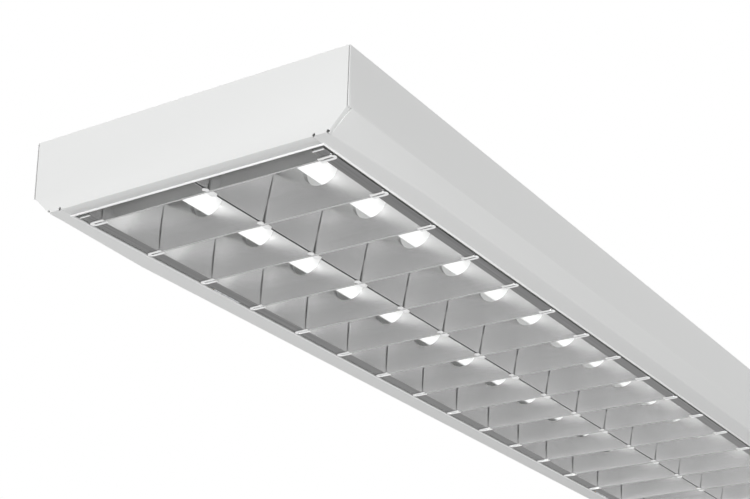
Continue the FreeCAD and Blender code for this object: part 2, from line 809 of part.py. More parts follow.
def lamp(side_name, across):
    """Fluorescent tube: glass with drawn-in necks, metal end caps and bi-pins."""
    body = new_body("tube_glass_" + side_name)
    half_glass = "lamp_length / 2 - cap_wall"
    neck = "lamp_length / 2 - cap_length"
    profile = new_sketch(body, "YZ_Plane", "0")
    outer = [
        ("-(%s)" % half_glass, "neck_diameter / 2"),
        ("-(%s)" % neck, "neck_diameter / 2"),
        ("-(%s - neck_taper)" % neck, "lamp_diameter / 2"),
        ("%s - neck_taper" % neck, "lamp_diameter / 2"),
        (neck, "neck_diameter / 2"),
        (half_glass, "neck_diameter / 2"),
    ]
    inner = [(along, up + " - glass_wall") for along, up in reversed(outer)]
    outline(profile, outer + inner)
    revolve(body, profile, "Y_Axis")
    place(body, across, up="-lamp_drop")
    caps = []
    pins = []
    for end in (1, -1):
        start = "%d * lamp_length / 2" % end
        cap_start = start + (" - cap_length" if end > 0 else "")
        cup = cylinder("cap", "cap_diameter", "cap_length", across, cap_start, "-lamp_drop", ALONG)
        hollow_start = cap_start + ("" if end > 0 else " + cap_wall")
        hollow = cylinder("cap_hollow", "cap_diameter - 2 * cap_wall", "cap_length - cap_wall",
                          across, hollow_start, "-lamp_drop", ALONG)
        caps.append(cut("cap_cup", cup, hollow))
        for offset in (1, -1):
            pin_start = start + ("" if end > 0 else " - pin_length")
            pins.append(cylinder("pin", "pin_diameter", "pin_length",
                                 "%s + %d * pin_spacing / 2" % (across, offset), pin_start,
                                 "-lamp_drop", ALONG))
    keep(group("tube_caps_" + side_name, caps), "tube_caps_" + side_name)
    keep(group("tube_pins_" + side_name, pins), "tube_pins_" + side_name)


# ---------------------------------------------------------------- louvre

LOUVRE_TOP = "-body_height + louvre_depth"
LOUVRE_LENGTH = "body_length - 2 * louvre_end_gap"
PITCH = "(body_length - 2 * louvre_end_gap - 2 * blade_end_inset) / (blade_count - 1)"


def side_reflector(label, side):
    """Outer reflector of one bay: flat flange, curved flank and a stiffening top flange."""
    body = new_body(label)
    turn = 1 if side > 0 else -1
    sign = "" if side > 0 else "-"
    section = new_sketch(body, "XZ_Plane", "0")
    outline(section, [
        (sign + "(flange_outer_half)", FLOOR),
        (sign + "(flank_bottom_half)", FLOOR, "flank_radius", turn),
        (sign + "(flank_top_half)", LOUVRE_TOP),
        (sign + "(flank_top_half + top_flange)", LOUVRE_TOP),
        (sign + "(flank_top_half + top_flange)", LOUVRE_TOP + " - louvre_sheet"),
        (sign + "(flank_top_half + louvre_sheet)", LOUVRE_TOP + " - louvre_sheet",
         "flank_radius - louvre_sheet", -turn),
        (sign + "(flank_bottom_half + louvre_sheet)", FLOOR + " + louvre_sheet"),
        (sign + "(flange_outer_half)", FLOOR + " + louvre_sheet"),
    ])
    pad(body, section, LOUVRE_LENGTH, symmetric=True)


def blade_places():
    """Expressions for the place of each cross blade along the louvre."""
    count = int(round(value("blade_count")))
    return ["(%d - (blade_count - 1) / 2) * %s" % (index, PITCH) for index in range(count)]


def centre_profile():
    """V-shaped reflector between the bays, slotted from below over each cross blade."""
    body = new_body("louvre_centre_profile")
    low = FLOOR + " + centre_bottom_rise"
    section = new_sketch(body, "XZ_Plane", "0")
    outline(section, [
        ("-centre_bottom_half", low),
        ("centre_bottom_half", low, "centre_radius", -1),
        ("centre_top_half", LOUVRE_TOP),
        ("centre_top_half - louvre_sheet", LOUVRE_TOP, "centre_radius + louvre_sheet", 1),
        ("centre_bottom_half - louvre_sheet", low + " + louvre_sheet"),
        ("-(centre_bottom_half - louvre_sheet)", low + " + louvre_sheet",
         "centre_radius + louvre_sheet", 1),
        ("-(centre_top_half - louvre_sheet)", LOUVRE_TOP),
        ("-centre_top_half", LOUVRE_TOP, "centre_radius", -1),
    ])
    pad(body, section, LOUVRE_LENGTH, symmetric=True)
    tabs = new_sketch(body, "XY_Plane", low + " - louvre_sheet")
    slots = new_sketch(body, "XY_Plane", FLOOR)
    width = ("blade_bottom_half + (blade_top_half - blade_bottom_half) * "
             "(lap_height + blade_drop) / (louvre_depth + blade_drop) + lap_clearance")
    for place_text in blade_places():
        box_outline(slots, "-centre_top_half - 1", "centre_top_half + 1",
                    "%s - (%s)" % (place_text, width), "%s + (%s)" % (place_text, width))
        box_outline(tabs, "-centre_tab_width / 2", "centre_tab_width / 2",
                    "%s - (%s) - centre_tab_length" % (place_text, width),
                    "%s + (%s) + centre_tab_length" % (place_text, width))
    pad(body, tabs, "louvre_sheet + louvre_sheet / 5")
    pocket(body, slots, "lap_height", reverse=True)


def cross_blade(label, along):
    """Cross blade: V-folded sheet with tube notches, a centre slot and hairpin tongues."""
    body = new_body(label)
    low = FLOOR + " - blade_drop"
    section = new_sketch(body, "YZ_Plane", "0")
    outline(section, [
        ("-blade_bottom_half", low),
        ("blade_bottom_half", low),
        ("blade_top_half", LOUVRE_TOP),
        ("blade_top_half - louvre_sheet", LOUVRE_TOP),
        ("blade_bottom_half - louvre_sheet", low + " + louvre_sheet"),
        ("-(blade_bottom_half - louvre_sheet)", low + " + louvre_sheet"),
        ("-(blade_top_half - louvre_sheet)", LOUVRE_TOP),
        ("-blade_top_half", LOUVRE_TOP),
    ])
    pad(body, section, "2 * flank_bottom_half", symmetric=True)
    high = LOUVRE_TOP + " + 1"
    trims = new_sketch(body, "XZ_Plane", "0")
    slope = "(flank_bottom_half - flank_top_half) / louvre_depth"
    lap = ("centre_bottom_half + (centre_top_half - centre_bottom_half) * "
           "(lap_height - centre_bottom_rise) / (louvre_depth - centre_bottom_rise) + lap_clearance")
    lap_top = "centre_top_half + lap_clearance"
    outline(trims, [
        ("-(%s)" % lap, FLOOR + " + lap_height"),
        (lap, FLOOR + " + lap_height"),
        (lap_top, LOUVRE_TOP),
        (lap_top, high),
        ("-(%s)" % lap_top, high),
        ("-(%s)" % lap_top, LOUVRE_TOP),
    ])
    for side, turn in (("", 1), ("-", -1)):
        outline(trims, [
            ("%s(flank_bottom_half - blade_end_gap)" % side, FLOOR),
            ("%s(flank_top_half - blade_end_gap)" % side, LOUVRE_TOP),
            ("%s(flank_top_half - blade_end_gap - %s)" % (side, slope), high),
            ("%s(flank_bottom_half + 1)" % side, high),
            ("%s(flank_bottom_half + 1)" % side, low + " - 1"),
            ("%s(flank_bottom_half - blade_end_gap)" % side, low + " - 1"),
        ])
        outline(trims, [
            ("%s(lamp_spacing / 2 - notch_radius)" % side, "-lamp_drop", "notch_radius", turn),
            ("%s(lamp_spacing / 2)" % side, "-lamp_drop - notch_radius", "notch_radius", turn),
            ("%s(lamp_spacing / 2 + notch_radius)" % side, "-lamp_drop"),
            ("%s(lamp_spacing / 2 + notch_radius + notch_flare)" % side, LOUVRE_TOP),
            ("%s(lamp_spacing / 2 + notch_radius + notch_flare)" % side, high),
            ("%s(lamp_spacing / 2 - notch_radius - notch_flare)" % side, high),
            ("%s(lamp_spacing / 2 - notch_radius - notch_flare)" % side, LOUVRE_TOP),
        ])
    pocket(body, trims, "4 * blade_top_half", symmetric=True)
    tongues = new_sketch(body, "XY_Plane", low)
    round_tip = "tongue_width / 2"
    inner_tip = "tongue_slot_width / 2"
    for side in (1, -1):
        sign = "" if side > 0 else "-"
        bend = "tongue_tip_half - tongue_width / 2"
        outline(tongues, [
            (sign + "(tongue_root_half)", "-" + round_tip),
            (sign + "(%s)" % bend, "-" + round_tip, round_tip, side),
            (sign + "(tongue_tip_half)", "0", round_tip, side),
            (sign + "(%s)" % bend, round_tip),
            (sign + "(tongue_root_half)", round_tip),
            (sign + "(tongue_root_half)", inner_tip),
            (sign + "(%s)" % bend, inner_tip),
            (sign + "(%s)" % bend, "-" + inner_tip),
            (sign + "(tongue_root_half)", "-" + inner_tip),
        ])
    pad(body, tongues, "blade_drop")
    place(body, along=along)


# ---------------------------------------------------------------- hinge and catches

HINGE_X = "-hinge_axis_half"
HINGE_Z = "-body_height + hinge_axis_rise"


def bay_place(side, bay):
    """Return the place of a louvre bay, counted from the blade at that end."""
    return "%d * (%s / 2 - blade_end_inset - %s * %s)" % (side, "(%s)" % LOUVRE_LENGTH, bay, PITCH)


def barrel(along, length):
    """Short hinge barrel round the louvre's hinge axis."""
    outer = cylinder("barrel", "hinge_barrel_diameter", length, HINGE_X, along, HINGE_Z, ALONG)
    bore = cylinder("barrel_bore", "hinge_pin_diameter + 2 * hinge_clearance", length,
                    HINGE_X, along, HINGE_Z, ALONG)
    return outer, bore


def hinge_parts():
    """Two small wire hinges in the gap along the left lip."""
    tray_leaves = []
    louvre_leaves = []
    pins = []
    step = "hinge_barrel_length + hinge_barrel_gap"
    for along in (1, -1):
        centre = bay_place(along, "hinge_bay")
        middle = "%s - hinge_barrel_length / 2" % centre
        outer, bore = barrel(middle, "hinge_barrel_length")
        leaf = block("louvre_leaf", HINGE_X, middle, FLOOR + " + louvre_sheet",
                     "hinge_leaf_width", "hinge_barrel_length", "hinge_leaf_sheet")
        louvre_leaves.append(cut("louvre_hinge_leaf", join("leaf_blank", [outer, leaf]), bore))
        for end in (1, -1):
            start = "%s + %d * (%s)" % (middle, end, step)
            outer, bore = barrel(start, "hinge_barrel_length")
            leaf = block("tray_leaf", HINGE_X + " - hinge_leaf_width", start,
                         FLOOR + " + tray_sheet", "hinge_leaf_width", "hinge_barrel_length",
                         "hinge_leaf_sheet")
            tray_leaves.append(cut("tray_hinge_leaf", join("leaf_blank", [outer, leaf]), bore))
        pins.append(cylinder("hinge_pin", "hinge_pin_diameter", "3 * (%s)" % step, HINGE_X,
                             "%s - 3 * (%s) / 2" % (centre, step), HINGE_Z, ALONG))
    keep(group("hinge_leaves_tray", tray_leaves), "hinge_leaves_tray")
    keep(group("hinge_leaves_louvre", louvre_leaves), "hinge_leaves_louvre")
    keep(group("hinge_pins", pins), "hinge_pins")


def catch_parts():
    """Leaf springs on the right lip that press against upright tabs on the louvre."""
    for index, along in enumerate((-1, 1), start=1):
        spring = new_body("catch_spring_%d" % index)
        base = FLOOR + " + tray_sheet"
        face = "catch_tab_half + catch_sheet + catch_clearance"
        profile = new_sketch(spring, "XZ_Plane", bay_place(along, "catch_bay"))
        outline(profile, [
            ("opening_width / 2 + catch_foot", base),
            ("opening_width / 2 + 1", base),
            (face + " + 2", base + " + catch_height - 4"),
            (face, base + " + catch_height - 2"),
            (face + " + 4", base + " + catch_height + 2"),
            (face + " + 4 + catch_sheet", base + " + catch_height + 2"),
            (face + " + catch_sheet", base + " + catch_height - 2"),
            (face + " + 2 + catch_sheet", base + " + catch_height - 4"),
            ("opening_width / 2 + 1 + catch_sheet", base + " + catch_sheet"),
            ("opening_width / 2 + catch_foot", base + " + catch_sheet"),
        ])
        pad(spring, profile, "catch_width", symmetric=True)
        tab = new_body("catch_tab_%d" % index)
        seat = FLOOR + " + louvre_sheet"
        upright = new_sketch(tab, "XZ_Plane", bay_place(along, "catch_bay"))
        outline(upright, [
            ("catch_tab_half + catch_sheet", seat),
            ("catch_tab_half + catch_sheet", base + " + catch_height"),
            ("catch_tab_half", base + " + catch_height"),
            ("catch_tab_half", seat + " + catch_sheet"),
            ("catch_tab_half - catch_tab_foot", seat + " + catch_sheet"),
            ("catch_tab_half - catch_tab_foot", seat),
        ])
        pad(tab, upright, "catch_width - 2", symmetric=True)


# ---------------------------------------------------------------- assembly

housing_tray()
end_plate("end_plate_near", False)
end_plate("end_plate_far", True)
end_plate_rivets()
gear_cover()
gear_screws()
ballast()
terminal_block()
earth_stud()
cable_grommet()
HOLDER_FRONT = "lamp_length / 2 + holder_gap"
for side_name, side_sign in (("left", "-"), ("right", "")):
    lamp_across = side_sign + "(lamp_spacing / 2)"
    lamp(side_name, lamp_across)
    for end_name, end_sign, is_turned in (("near", "-", False), ("far", "", True)):
        suffix = side_name + "_" + end_name
        front = "%s(%s)" % (end_sign, HOLDER_FRONT)
        lampholder("lampholder_" + suffix, lamp_across, front, is_turned)
        rotor("holder_rotor_" + suffix, lamp_across, front, is_turned)
side_reflector("louvre_reflector_left", -1)
side_reflector("louvre_reflector_right", 1)
centre_profile()
for number, blade_along in enumerate(blade_places(), start=1):
    cross_blade("louvre_blade_%02d" % number, blade_along)
hinge_parts()
catch_parts()
leads()

doc.recompute()
for item in doc.Objects:
    if "Invalid" in item.State or "Error" in item.State:
        raise RuntimeError("%s did not rebuild: %s" % (item.Label, item.State))
os.makedirs("parts", exist_ok=True)
for item in parts:
    shape = item.Shape
    if shape.isNull() or not shape.isValid() or not shape.Solids:
        raise RuntimeError("%s has no sound shape" % item.Label)
    shape.exportStep(os.path.join("parts", item.Label + ".step"))
print("%d nodes" % len(parts))
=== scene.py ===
"""Surface-mounted twin-tube louvre luminaire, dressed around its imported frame."""
import logging
import math
from dataclasses import dataclass, field
from enum import Enum
from typing import Callable, Sequence

import bmesh
import bpy
from mathutils import Matrix, Vector


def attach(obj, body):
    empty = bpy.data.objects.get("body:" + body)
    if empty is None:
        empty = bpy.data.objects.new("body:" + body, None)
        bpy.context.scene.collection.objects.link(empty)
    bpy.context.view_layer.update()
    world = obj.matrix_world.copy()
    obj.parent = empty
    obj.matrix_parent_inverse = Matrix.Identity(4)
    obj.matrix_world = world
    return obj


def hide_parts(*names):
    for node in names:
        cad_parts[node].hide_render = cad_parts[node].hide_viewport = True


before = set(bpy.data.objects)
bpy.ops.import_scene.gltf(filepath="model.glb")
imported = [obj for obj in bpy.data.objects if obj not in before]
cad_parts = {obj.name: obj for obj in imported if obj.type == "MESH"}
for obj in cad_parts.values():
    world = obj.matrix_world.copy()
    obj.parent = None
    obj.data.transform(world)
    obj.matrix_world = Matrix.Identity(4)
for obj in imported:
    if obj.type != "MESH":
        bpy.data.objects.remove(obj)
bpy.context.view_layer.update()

MM = 0.001
WELD_REACH = 0.001 * MM
LOG = logging.getLogger("luminaire")

Spot = tuple[float, float]
Place = tuple[float, float, float]
Colour = tuple[float, float, float, float]
Size = tuple[str, str, object]
Node, Socket, Tree = bpy.types.Node, bpy.types.NodeSocket, bpy.types.NodeTree
Piece, Work = bpy.types.Object, bmesh.types.BMesh


class Carrier(str, Enum):
    """The bodies of the frame that the scene's own pieces ride on."""

    HOUSING = "housing"
    LOUVRE = "louvre"


class Side(Enum):
    """The two long sides of the luminaire."""

    LEFT = -1
    RIGHT = 1


class Run(Enum):
    """The way that a prism runs."""

    LENGTHWAYS = "Y"
    UPRIGHT = "Z"


class Surface(Enum):
    """The shared shader groups, by what they show."""

    SKIN = "fine_skin"
    ROLLED = "rolled_metal"


def grey(level: float) -> Colour:
    """Return a neutral colour."""
    return (level, level, level, 1.0)


# ---- shader groups


def group_inputs(tree: Tree, sizes: Sequence[Size]) -> None:
    """Add named inputs to a node group.

    Args:
        tree: The node group.
        sizes: Each input's name, type and default value, or None where it has no value.
    """
    for name, kind, value in sizes:
        socket = tree.interface.new_socket(name, in_out="INPUT", socket_type="NodeSocket" + kind)
        if value is not None:
            socket.default_value = value


def fill(node: Node, values: dict[str, object]) -> None:
    """Set a node's inputs to plain values, by name."""
    for name, value in values.items():
        node.inputs[name].default_value = value


def math_node(tree: Tree, operation: str, *sources: Socket | float) -> Socket:
    """Add a Math node.

    Args:
        tree: The node tree.
        operation: What the node does, such as MULTIPLY_ADD.
        sources: What feeds its inputs in order: another node's output or a plain number.

    Returns:
        The node's output.
    """
    node = tree.nodes.new("ShaderNodeMath")
    node.operation = operation
    for socket, source in zip(node.inputs, sources):
        if isinstance(source, Socket):
            tree.links.new(source, socket)
        else:
            socket.default_value = source
    return node.outputs[0]


@dataclass
class SurfaceGroup:
    """A shared shader group whose pattern swings the colour, roughness and normal of a surface.

    The bump's height is in metres.
    """

    surface: Surface
    sizes: tuple[Size, ...]
    contrast: str
    depth: str
    rough_swing: float
    height: float
    tree: Tree = field(init=False)
    given: Node = field(init=False)
    spot: Socket = field(init=False)

    def start(self) -> None:
        """Make the group with its inputs and outputs."""
        self.tree = bpy.data.node_groups.new(self.surface.value, "ShaderNodeTree")
        group_inputs(self.tree, self.sizes)
        for name, kind in (("Colour", "Color"), ("Roughness", "Float"), ("Normal", "Vector")):
            self.tree.interface.new_socket(name, in_out="OUTPUT",
                                           socket_type="NodeSocket" + kind)
        self.given = self.tree.nodes.new("NodeGroupInput")
        self.spot = self.tree.nodes.new("ShaderNodeTexCoord").outputs["Object"]

    def noise(self, spot: Socket, detail: float, scale: Socket | float) -> Socket:
        """Add a noise pattern.

        Args:
            spot: The coordinates that it reads.
            detail: Its detail.
            scale: Its scale, or the input that gives it.

        Returns:
            The pattern's value.
        """
        noise = self.tree.nodes.new("ShaderNodeTexNoise")
        noise.inputs["Detail"].default_value = detail
        self.tree.links.new(spot, noise.inputs["Vector"])
        if isinstance(scale, Socket):
            self.tree.links.new(scale, noise.inputs["Scale"])
        else:
            noise.inputs["Scale"].default_value = scale
        return noise.outputs["Fac"]

    def end(self, tone: Socket, grain: Socket) -> Tree:
        """Feed the outputs.

        Args:
            tone: The pattern that swings the colour and the roughness.
            grain: The pattern that raises the surface.

        Returns:
            The finished group.
        """
        nodes, links, given = self.tree.nodes, self.tree.links, self.given.outputs
        out = nodes.new("NodeGroupOutput")
        centred = math_node(self.tree, "SUBTRACT", tone, 0.5)
        swing = math_node(self.tree, "MULTIPLY_ADD", centred, given[self.contrast], 1.0)
        tint = nodes.new("ShaderNodeVectorMath")
        tint.operation = "SCALE"
        links.new(given["Colour"], tint.inputs[0])
        links.new(swing, tint.inputs["Scale"])
        links.new(tint.outputs[0], out.inputs["Colour"])
        rough = math_node(self.tree, "MULTIPLY_ADD", centred, self.rough_swing,
                          given["Roughness"])
        links.new(rough, out.inputs["Roughness"])
        bump = nodes.new("ShaderNodeBump")
        fill(bump, {"Distance": self.height})
        links.new(grain, bump.inputs["Height"])
        links.new(given[self.depth], bump.inputs["Strength"])
        links.new(bump.outputs["Normal"], out.inputs["Normal"])
        return self.tree


def skin_group() -> Tree:
    """Build the group for sprayed or moulded skins: faint tone drift and a fine surface.

    Returns:
        A node group with the outputs Colour, Roughness and Normal.
    """
    group = SurfaceGroup(Surface.SKIN, (
        ("Colour", "Color", grey(0.8)), ("Drift", "Float", 0.02), ("Roughness", "Float", 0.4),
        ("Grain Scale", "Float", 900.0), ("Grain Depth", "Float", 0.1),
    ), "Drift", "Grain Depth", 0.12, 0.05 * MM)
    group.start()
    cloud = group.noise(group.spot, 3.0, 7.0)
    grain = group.noise(group.spot, 2.0, group.given.outputs["Grain Scale"])
    return group.end(cloud, grain)


def rolled_group() -> Tree:
    """Build the group for rolled or brushed metal: long streaks along one direction.

    Returns:
        A node group with the outputs Colour, Roughness and Normal.
    """
    group = SurfaceGroup(Surface.ROLLED, (
        ("Colour", "Color", grey(0.7)), ("Contrast", "Float", 0.05), ("Roughness", "Float", 0.2),
        ("Streaks", "Vector", (40.0, 1500.0, 1500.0)), ("Depth", "Float", 0.05),
    ), "Contrast", "Depth", 0.1, 0.02 * MM)
    group.start()
    stretch = group.tree.nodes.new("ShaderNodeVectorMath")
    stretch.operation = "MULTIPLY"
    group.tree.links.new(group.spot, stretch.inputs[0])
    group.tree.links.new(group.given.outputs["Streaks"], stretch.inputs[1])
    streak = group.noise(stretch.outputs[0], 2.0, 1.0)
    return group.end(streak, streak)


@dataclass(frozen=True)
class Finish:
    """A finish: a Principled shader fed by one of the shared groups.

    Fields that stay the same all over the surface go on the shader's own sockets.
    """

    name: str
    slot: str
    colour: Colour
    surface: Surface
    values: dict[str, object] = field(default_factory=dict)
    metallic: float = 0.0
    coat: float = 0.0
    specular: float = 0.5
    glow: float = 0.0

    def build(self, groups: dict[Surface, Tree]) -> bpy.types.Material:
        """Make the material.

        Args:
            groups: The shared shader group of each surface.

        Returns:
            The new material.
        """
        material = bpy.data.materials.new(self.name)
        material.use_nodes = True
        nodes, links = material.node_tree.nodes, material.node_tree.links
        shader, effect = nodes["Principled BSDF"], nodes.new("ShaderNodeGroup")
        fill(shader, {"Metallic": self.metallic, "Coat Weight": self.coat,
                      "Specular IOR Level": self.specular})
        effect.node_tree = groups[self.surface]
        fill(effect, {"Colour": self.colour, **self.values})
        feeds = {"Base Color": "Colour", "Roughness": "Roughness", "Normal": "Normal"}
        if self.glow:
            fill(shader, {"Emission Strength": self.glow})
            feeds["Emission Color"] = "Colour"
        for entry, output in feeds.items():
            links.new(effect.outputs[output], shader.inputs[entry])
        return material


FINISHES = (
    Finish("white_powder_coat", "white_steel", (0.80, 0.805, 0.80, 1.0), Surface.SKIN,
           {"Roughness": 0.42, "Grain Scale": 1100.0, "Grain Depth": 0.25}),
    Finish("bright_louvre_sheet", "louvre_aluminium", grey(0.71), Surface.ROLLED,
           {"Roughness": 0.24, "Streaks": (15.0, 900.0, 900.0), "Contrast": 0.03,
            "Depth": 0.01}, metallic=0.8),
    Finish("bright_reflector_sheet", "louvre_aluminium", grey(0.71), Surface.ROLLED,
           {"Roughness": 0.22, "Streaks": (900.0, 15.0, 900.0), "Contrast": 0.03,
            "Depth": 0.01}, metallic=0.8),
    # painted shade: a darker, duller copy of the blade aluminium on the blades' lower folds
    Finish("painted_shade_fold_sheet", "louvre_aluminium", grey(0.50), Surface.ROLLED,
           {"Roughness": 0.6, "Streaks": (15.0, 900.0, 900.0), "Contrast": 0.1}, specular=0.2),
    # painted highlight: a brighter copy of the white powder coat for the bead round the opening
    Finish("painted_highlight_edge_coat", "white_steel", grey(0.95), Surface.SKIN,
           {"Roughness": 0.3, "Grain Scale": 1100.0, "Grain Depth": 0.1}),
    # painted highlight: a near-white copy of the louvre aluminium for the tongues, centre tabs and
    # end bars
    Finish("painted_highlight_tab_sheet", "louvre_aluminium", grey(0.97), Surface.ROLLED,
           {"Roughness": 0.3, "Streaks": (300.0, 300.0, 300.0), "Contrast": 0.02}, metallic=1.0),
    # painted shade: a dark grey copy of the louvre aluminium for the shaded flange strips and the
    # centre groove
    Finish("painted_shade_flange_sheet", "louvre_aluminium", grey(0.23), Surface.ROLLED,
           {"Roughness": 0.4, "Streaks": (700.0, 4.0, 700.0), "Contrast": 1.2}, metallic=1.0),
    Finish("phosphor_white_glass", "tube_glass", (0.94, 0.945, 0.94, 1.0), Surface.SKIN,
           {"Roughness": 0.12, "Drift": 0.02, "Grain Depth": 0.02}, coat=0.6, glow=0.6),
    Finish("cap_aluminium", "cap_aluminium", grey(0.62), Surface.ROLLED,
           {"Roughness": 0.3, "Streaks": (300.0, 60.0, 300.0)}, metallic=1.0),
    Finish("pin_brass", "pin_brass", (0.72, 0.55, 0.28, 1.0), Surface.ROLLED,
           {"Roughness": 0.25}, metallic=1.0),
    Finish("holder_plastic", "holder_white", (0.80, 0.80, 0.775, 1.0), Surface.SKIN,
           {"Roughness": 0.3, "Grain Depth": 0.08}),
    Finish("rotor_plastic", "rotor_white", (0.84, 0.84, 0.83, 1.0), Surface.SKIN,
           {"Roughness": 0.28, "Grain Depth": 0.05}),
    Finish("gear_case_coat", "gear_case", (0.70, 0.705, 0.70, 1.0), Surface.SKIN,
           {"Roughness": 0.5, "Grain Depth": 0.4, "Drift": 0.05}),
    Finish("terminal_plastic", "gear_terminals", (0.78, 0.78, 0.75, 1.0), Surface.SKIN,
           {"Roughness": 0.5, "Grain Depth": 0.1}),
    Finish("block_plastic", "block_plastic", (0.76, 0.755, 0.70, 1.0), Surface.SKIN,
           {"Roughness": 0.45, "Grain Depth": 0.1}),
    Finish("grommet_rubber", "grommet_rubber", grey(0.035), Surface.SKIN,
           {"Roughness": 0.65, "Grain Depth": 0.5, "Drift": 0.2}),
    Finish("fitting_brass", "brass_fittings", (0.70, 0.54, 0.28, 1.0), Surface.ROLLED,
           {"Roughness": 0.3}, metallic=1.0),
    Finish("lead_insulation", "lead_white", grey(0.76), Surface.SKIN,
           {"Roughness": 0.4, "Grain Depth": 0.1}),
    Finish("earth_insulation", "lead_earth", (0.12, 0.42, 0.06, 1.0), Surface.SKIN,
           {"Roughness": 0.4, "Grain Depth": 0.1}),
    Finish("zinc_plate", "zinc_steel", (0.60, 0.61, 0.62, 1.0), Surface.ROLLED,
           {"Roughness": 0.28, "Contrast": 0.15, "Streaks": (180.0, 180.0, 180.0)}, metallic=1.0),
)


@dataclass
class Palette:
    """The finished materials by name, and the slot of each."""

    materials: dict[str, bpy.types.Material] = field(default_factory=dict)
    slots: dict[str, str] = field(default_factory=dict)

    def mix(self) -> None:
        """Build every finish once."""
        groups = {Surface.SKIN: skin_group(), Surface.ROLLED: rolled_group()}
        for finish in FINISHES:
            self.materials[finish.name] = finish.build(groups)
            self.slots[finish.name] = finish.slot

    def dress(self, piece: Piece, finish: str) -> None:
        """Give a piece one finish all over.

        Args:
            piece: The mesh object.
            finish: The finish's name.
        """
        piece.data.materials.clear()
        piece.data.materials.append(self.materials[finish])


PALETTE = Palette()


# ---- mesh helpers


SMOOTH_ANGLE = 30.0
ROUNDED_SMOOTH_ANGLE = 34.0
SHARP_EDGE = 50.0
FLAT_ANGLE = 0.5
CUT_PAST = 1.0
TOUCH = 0.1


def beside(line: Sequence[Spot], gap: float) -> list[Spot]:
    """Offset an open line to its left by a gap, with mitred corners.

    Args:
        line: The points of the line.
        gap: How far it moves.

    Returns:
        The points of the moved line.
    """
    moved = []
    for index, point in enumerate(line):
        here = Vector(point)
        steps = []
        if index > 0:
            steps.append((here - Vector(line[index - 1])).normalized())
        if index < len(line) - 1:
            steps.append((Vector(line[index + 1]) - here).normalized())
        lefts = [Vector((-step.y, step.x)) for step in steps]
        mean = sum(lefts, Vector((0.0, 0.0))).normalized()
        moved.append(tuple(here + mean * (gap / mean.dot(lefts[0]))))
    return moved


def sheet_ring(line: Sequence[Spot], thickness: float) -> list[Spot]:
    """Close a line into the section of a sheet that lies to its left."""
    return list(line) + list(reversed(beside(line, thickness)))


def mesh_piece(name: str, work: Work, smooth_angle: float = SMOOTH_ANGLE) -> Piece:
    """Turn mesh work in millimetres into an object in metres, shaded smooth up to an angle.

    Args:
        name: The object's name.
        work: The mesh, which is freed.
        smooth_angle: The sharpest angle, in degrees, that is still shaded smooth.

    Returns:
        The object, linked to the scene.
    """
    bmesh.ops.scale(work, vec=(MM, MM, MM), verts=work.verts)
    bmesh.ops.recalc_face_normals(work, faces=work.faces)
    mesh = bpy.data.meshes.new(name)
    work.to_mesh(mesh)
    work.free()
    for polygon in mesh.polygons:
        polygon.use_smooth = True
    mesh.set_sharp_from_angle(angle=math.radians(smooth_angle))
    piece = bpy.data.objects.new(name, mesh)
    bpy.context.scene.collection.objects.link(piece)
    return piece


def add_band(work: Work, low: Sequence[bmesh.types.BMVert],
             high: Sequence[bmesh.types.BMVert]) -> None:
    """Join two closed rings of equal count by quads.

    Args:
        work: The mesh.
        low: The first ring's vertices.
        high: The second ring's vertices.
    """
    for index in range(len(low)):
        following = (index + 1) % len(low)
        work.faces.new((low[index], low[following], high[following], high[index]))


def add_loft(work: Work, rings: Sequence[Sequence[Vector]]) -> None:
    """Join closed rings of equal count by quads, and close the two ends.

    Args:
        work: The mesh.
        rings: The points of each ring, in order.
    """
    rows = [[work.verts.new(point) for point in ring] for ring in rings]
    for low, high in zip(rows, rows[1:]):
        add_band(work, low, high)
    work.faces.new(rows[0])
    work.faces.new(list(reversed(rows[-1])))


def add_box(work: Work, low: Place, high: Place) -> None:
    """Add a box between two corners."""
    low_face = [(low[0], low[1]), (high[0], low[1]), (high[0], high[1]), (low[0], high[1])]
    add_loft(work, [[Vector((x, y, z)) for x, y in low_face] for z in (low[2], high[2])])


def add_prism(work: Work, outline: Sequence[Spot], start: float, end: float,
              run: Run = Run.LENGTHWAYS) -> None:
    """Add a prism with its outline in XZ where it runs lengthways, or in XY where upright.

    Args:
        work: The mesh.
        outline: The points of its section.
        start: Where it begins.
        end: Where it ends.
        run: The way that it runs.
    """
    upright = run is Run.UPRIGHT
    add_loft(work, [[Vector((x, y, level) if upright else (x, level, y)) for x, y in outline]
                    for level in (start, end)])


def add_turned(work: Work, profile: Sequence[Spot], steps: int = 24) -> None:
    """Turn a profile of radius and height round the upright axis, and close its ends.

    Args:
        work: The mesh.
        profile: Each point's radius and height.
        steps: The number of faces round it.
    """
    rings = [[Vector((radius * math.cos(math.tau * step / steps),
                      radius * math.sin(math.tau * step / steps), up)) for step in range(steps)]
             for radius, up in profile]
    add_loft(work, rings)


def arc(centre: Spot, radius: float, start: float, end: float, steps: int) -> list[Spot]:
    """Return points on an arc between two angles in degrees.

    Args:
        centre: The middle of the arc.
        radius: Its radius.
        start: The first angle.
        end: The last angle.
        steps: The number of straight pieces.

    Returns:
        The points, one more than the pieces.
    """
    turns = [math.radians(start + (end - start) * step / steps) for step in range(steps + 1)]
    return [(centre[0] + radius * math.cos(turn), centre[1] + radius * math.sin(turn))
            for turn in turns]


def settled(piece: Piece) -> Piece:
    """Replace a piece's mesh by its evaluated mesh, without modifiers.

    Args:
        piece: The mesh object.

    Returns:
        The same object.
    """
    graph = bpy.context.evaluated_depsgraph_get()
    mesh = bpy.data.meshes.new_from_object(piece.evaluated_get(graph))
    piece.modifiers.clear()
    piece.data = mesh
    return piece


def carve(piece: Piece, tool: Piece) -> None:
    """Cut a piece with a tool, which is then removed, and keep the cut's edges sharp.

    Args:
        piece: The mesh object.
        tool: The closed mesh that is cut away.
    """
    modifier = piece.modifiers.new("cut", "BOOLEAN")
    modifier.object = tool
    modifier.operation = "DIFFERENCE"
    modifier.solver = "EXACT"
    settled(piece)
    piece.data.set_sharp_from_angle(angle=math.radians(SMOOTH_ANGLE))
    bpy.data.objects.remove(tool)


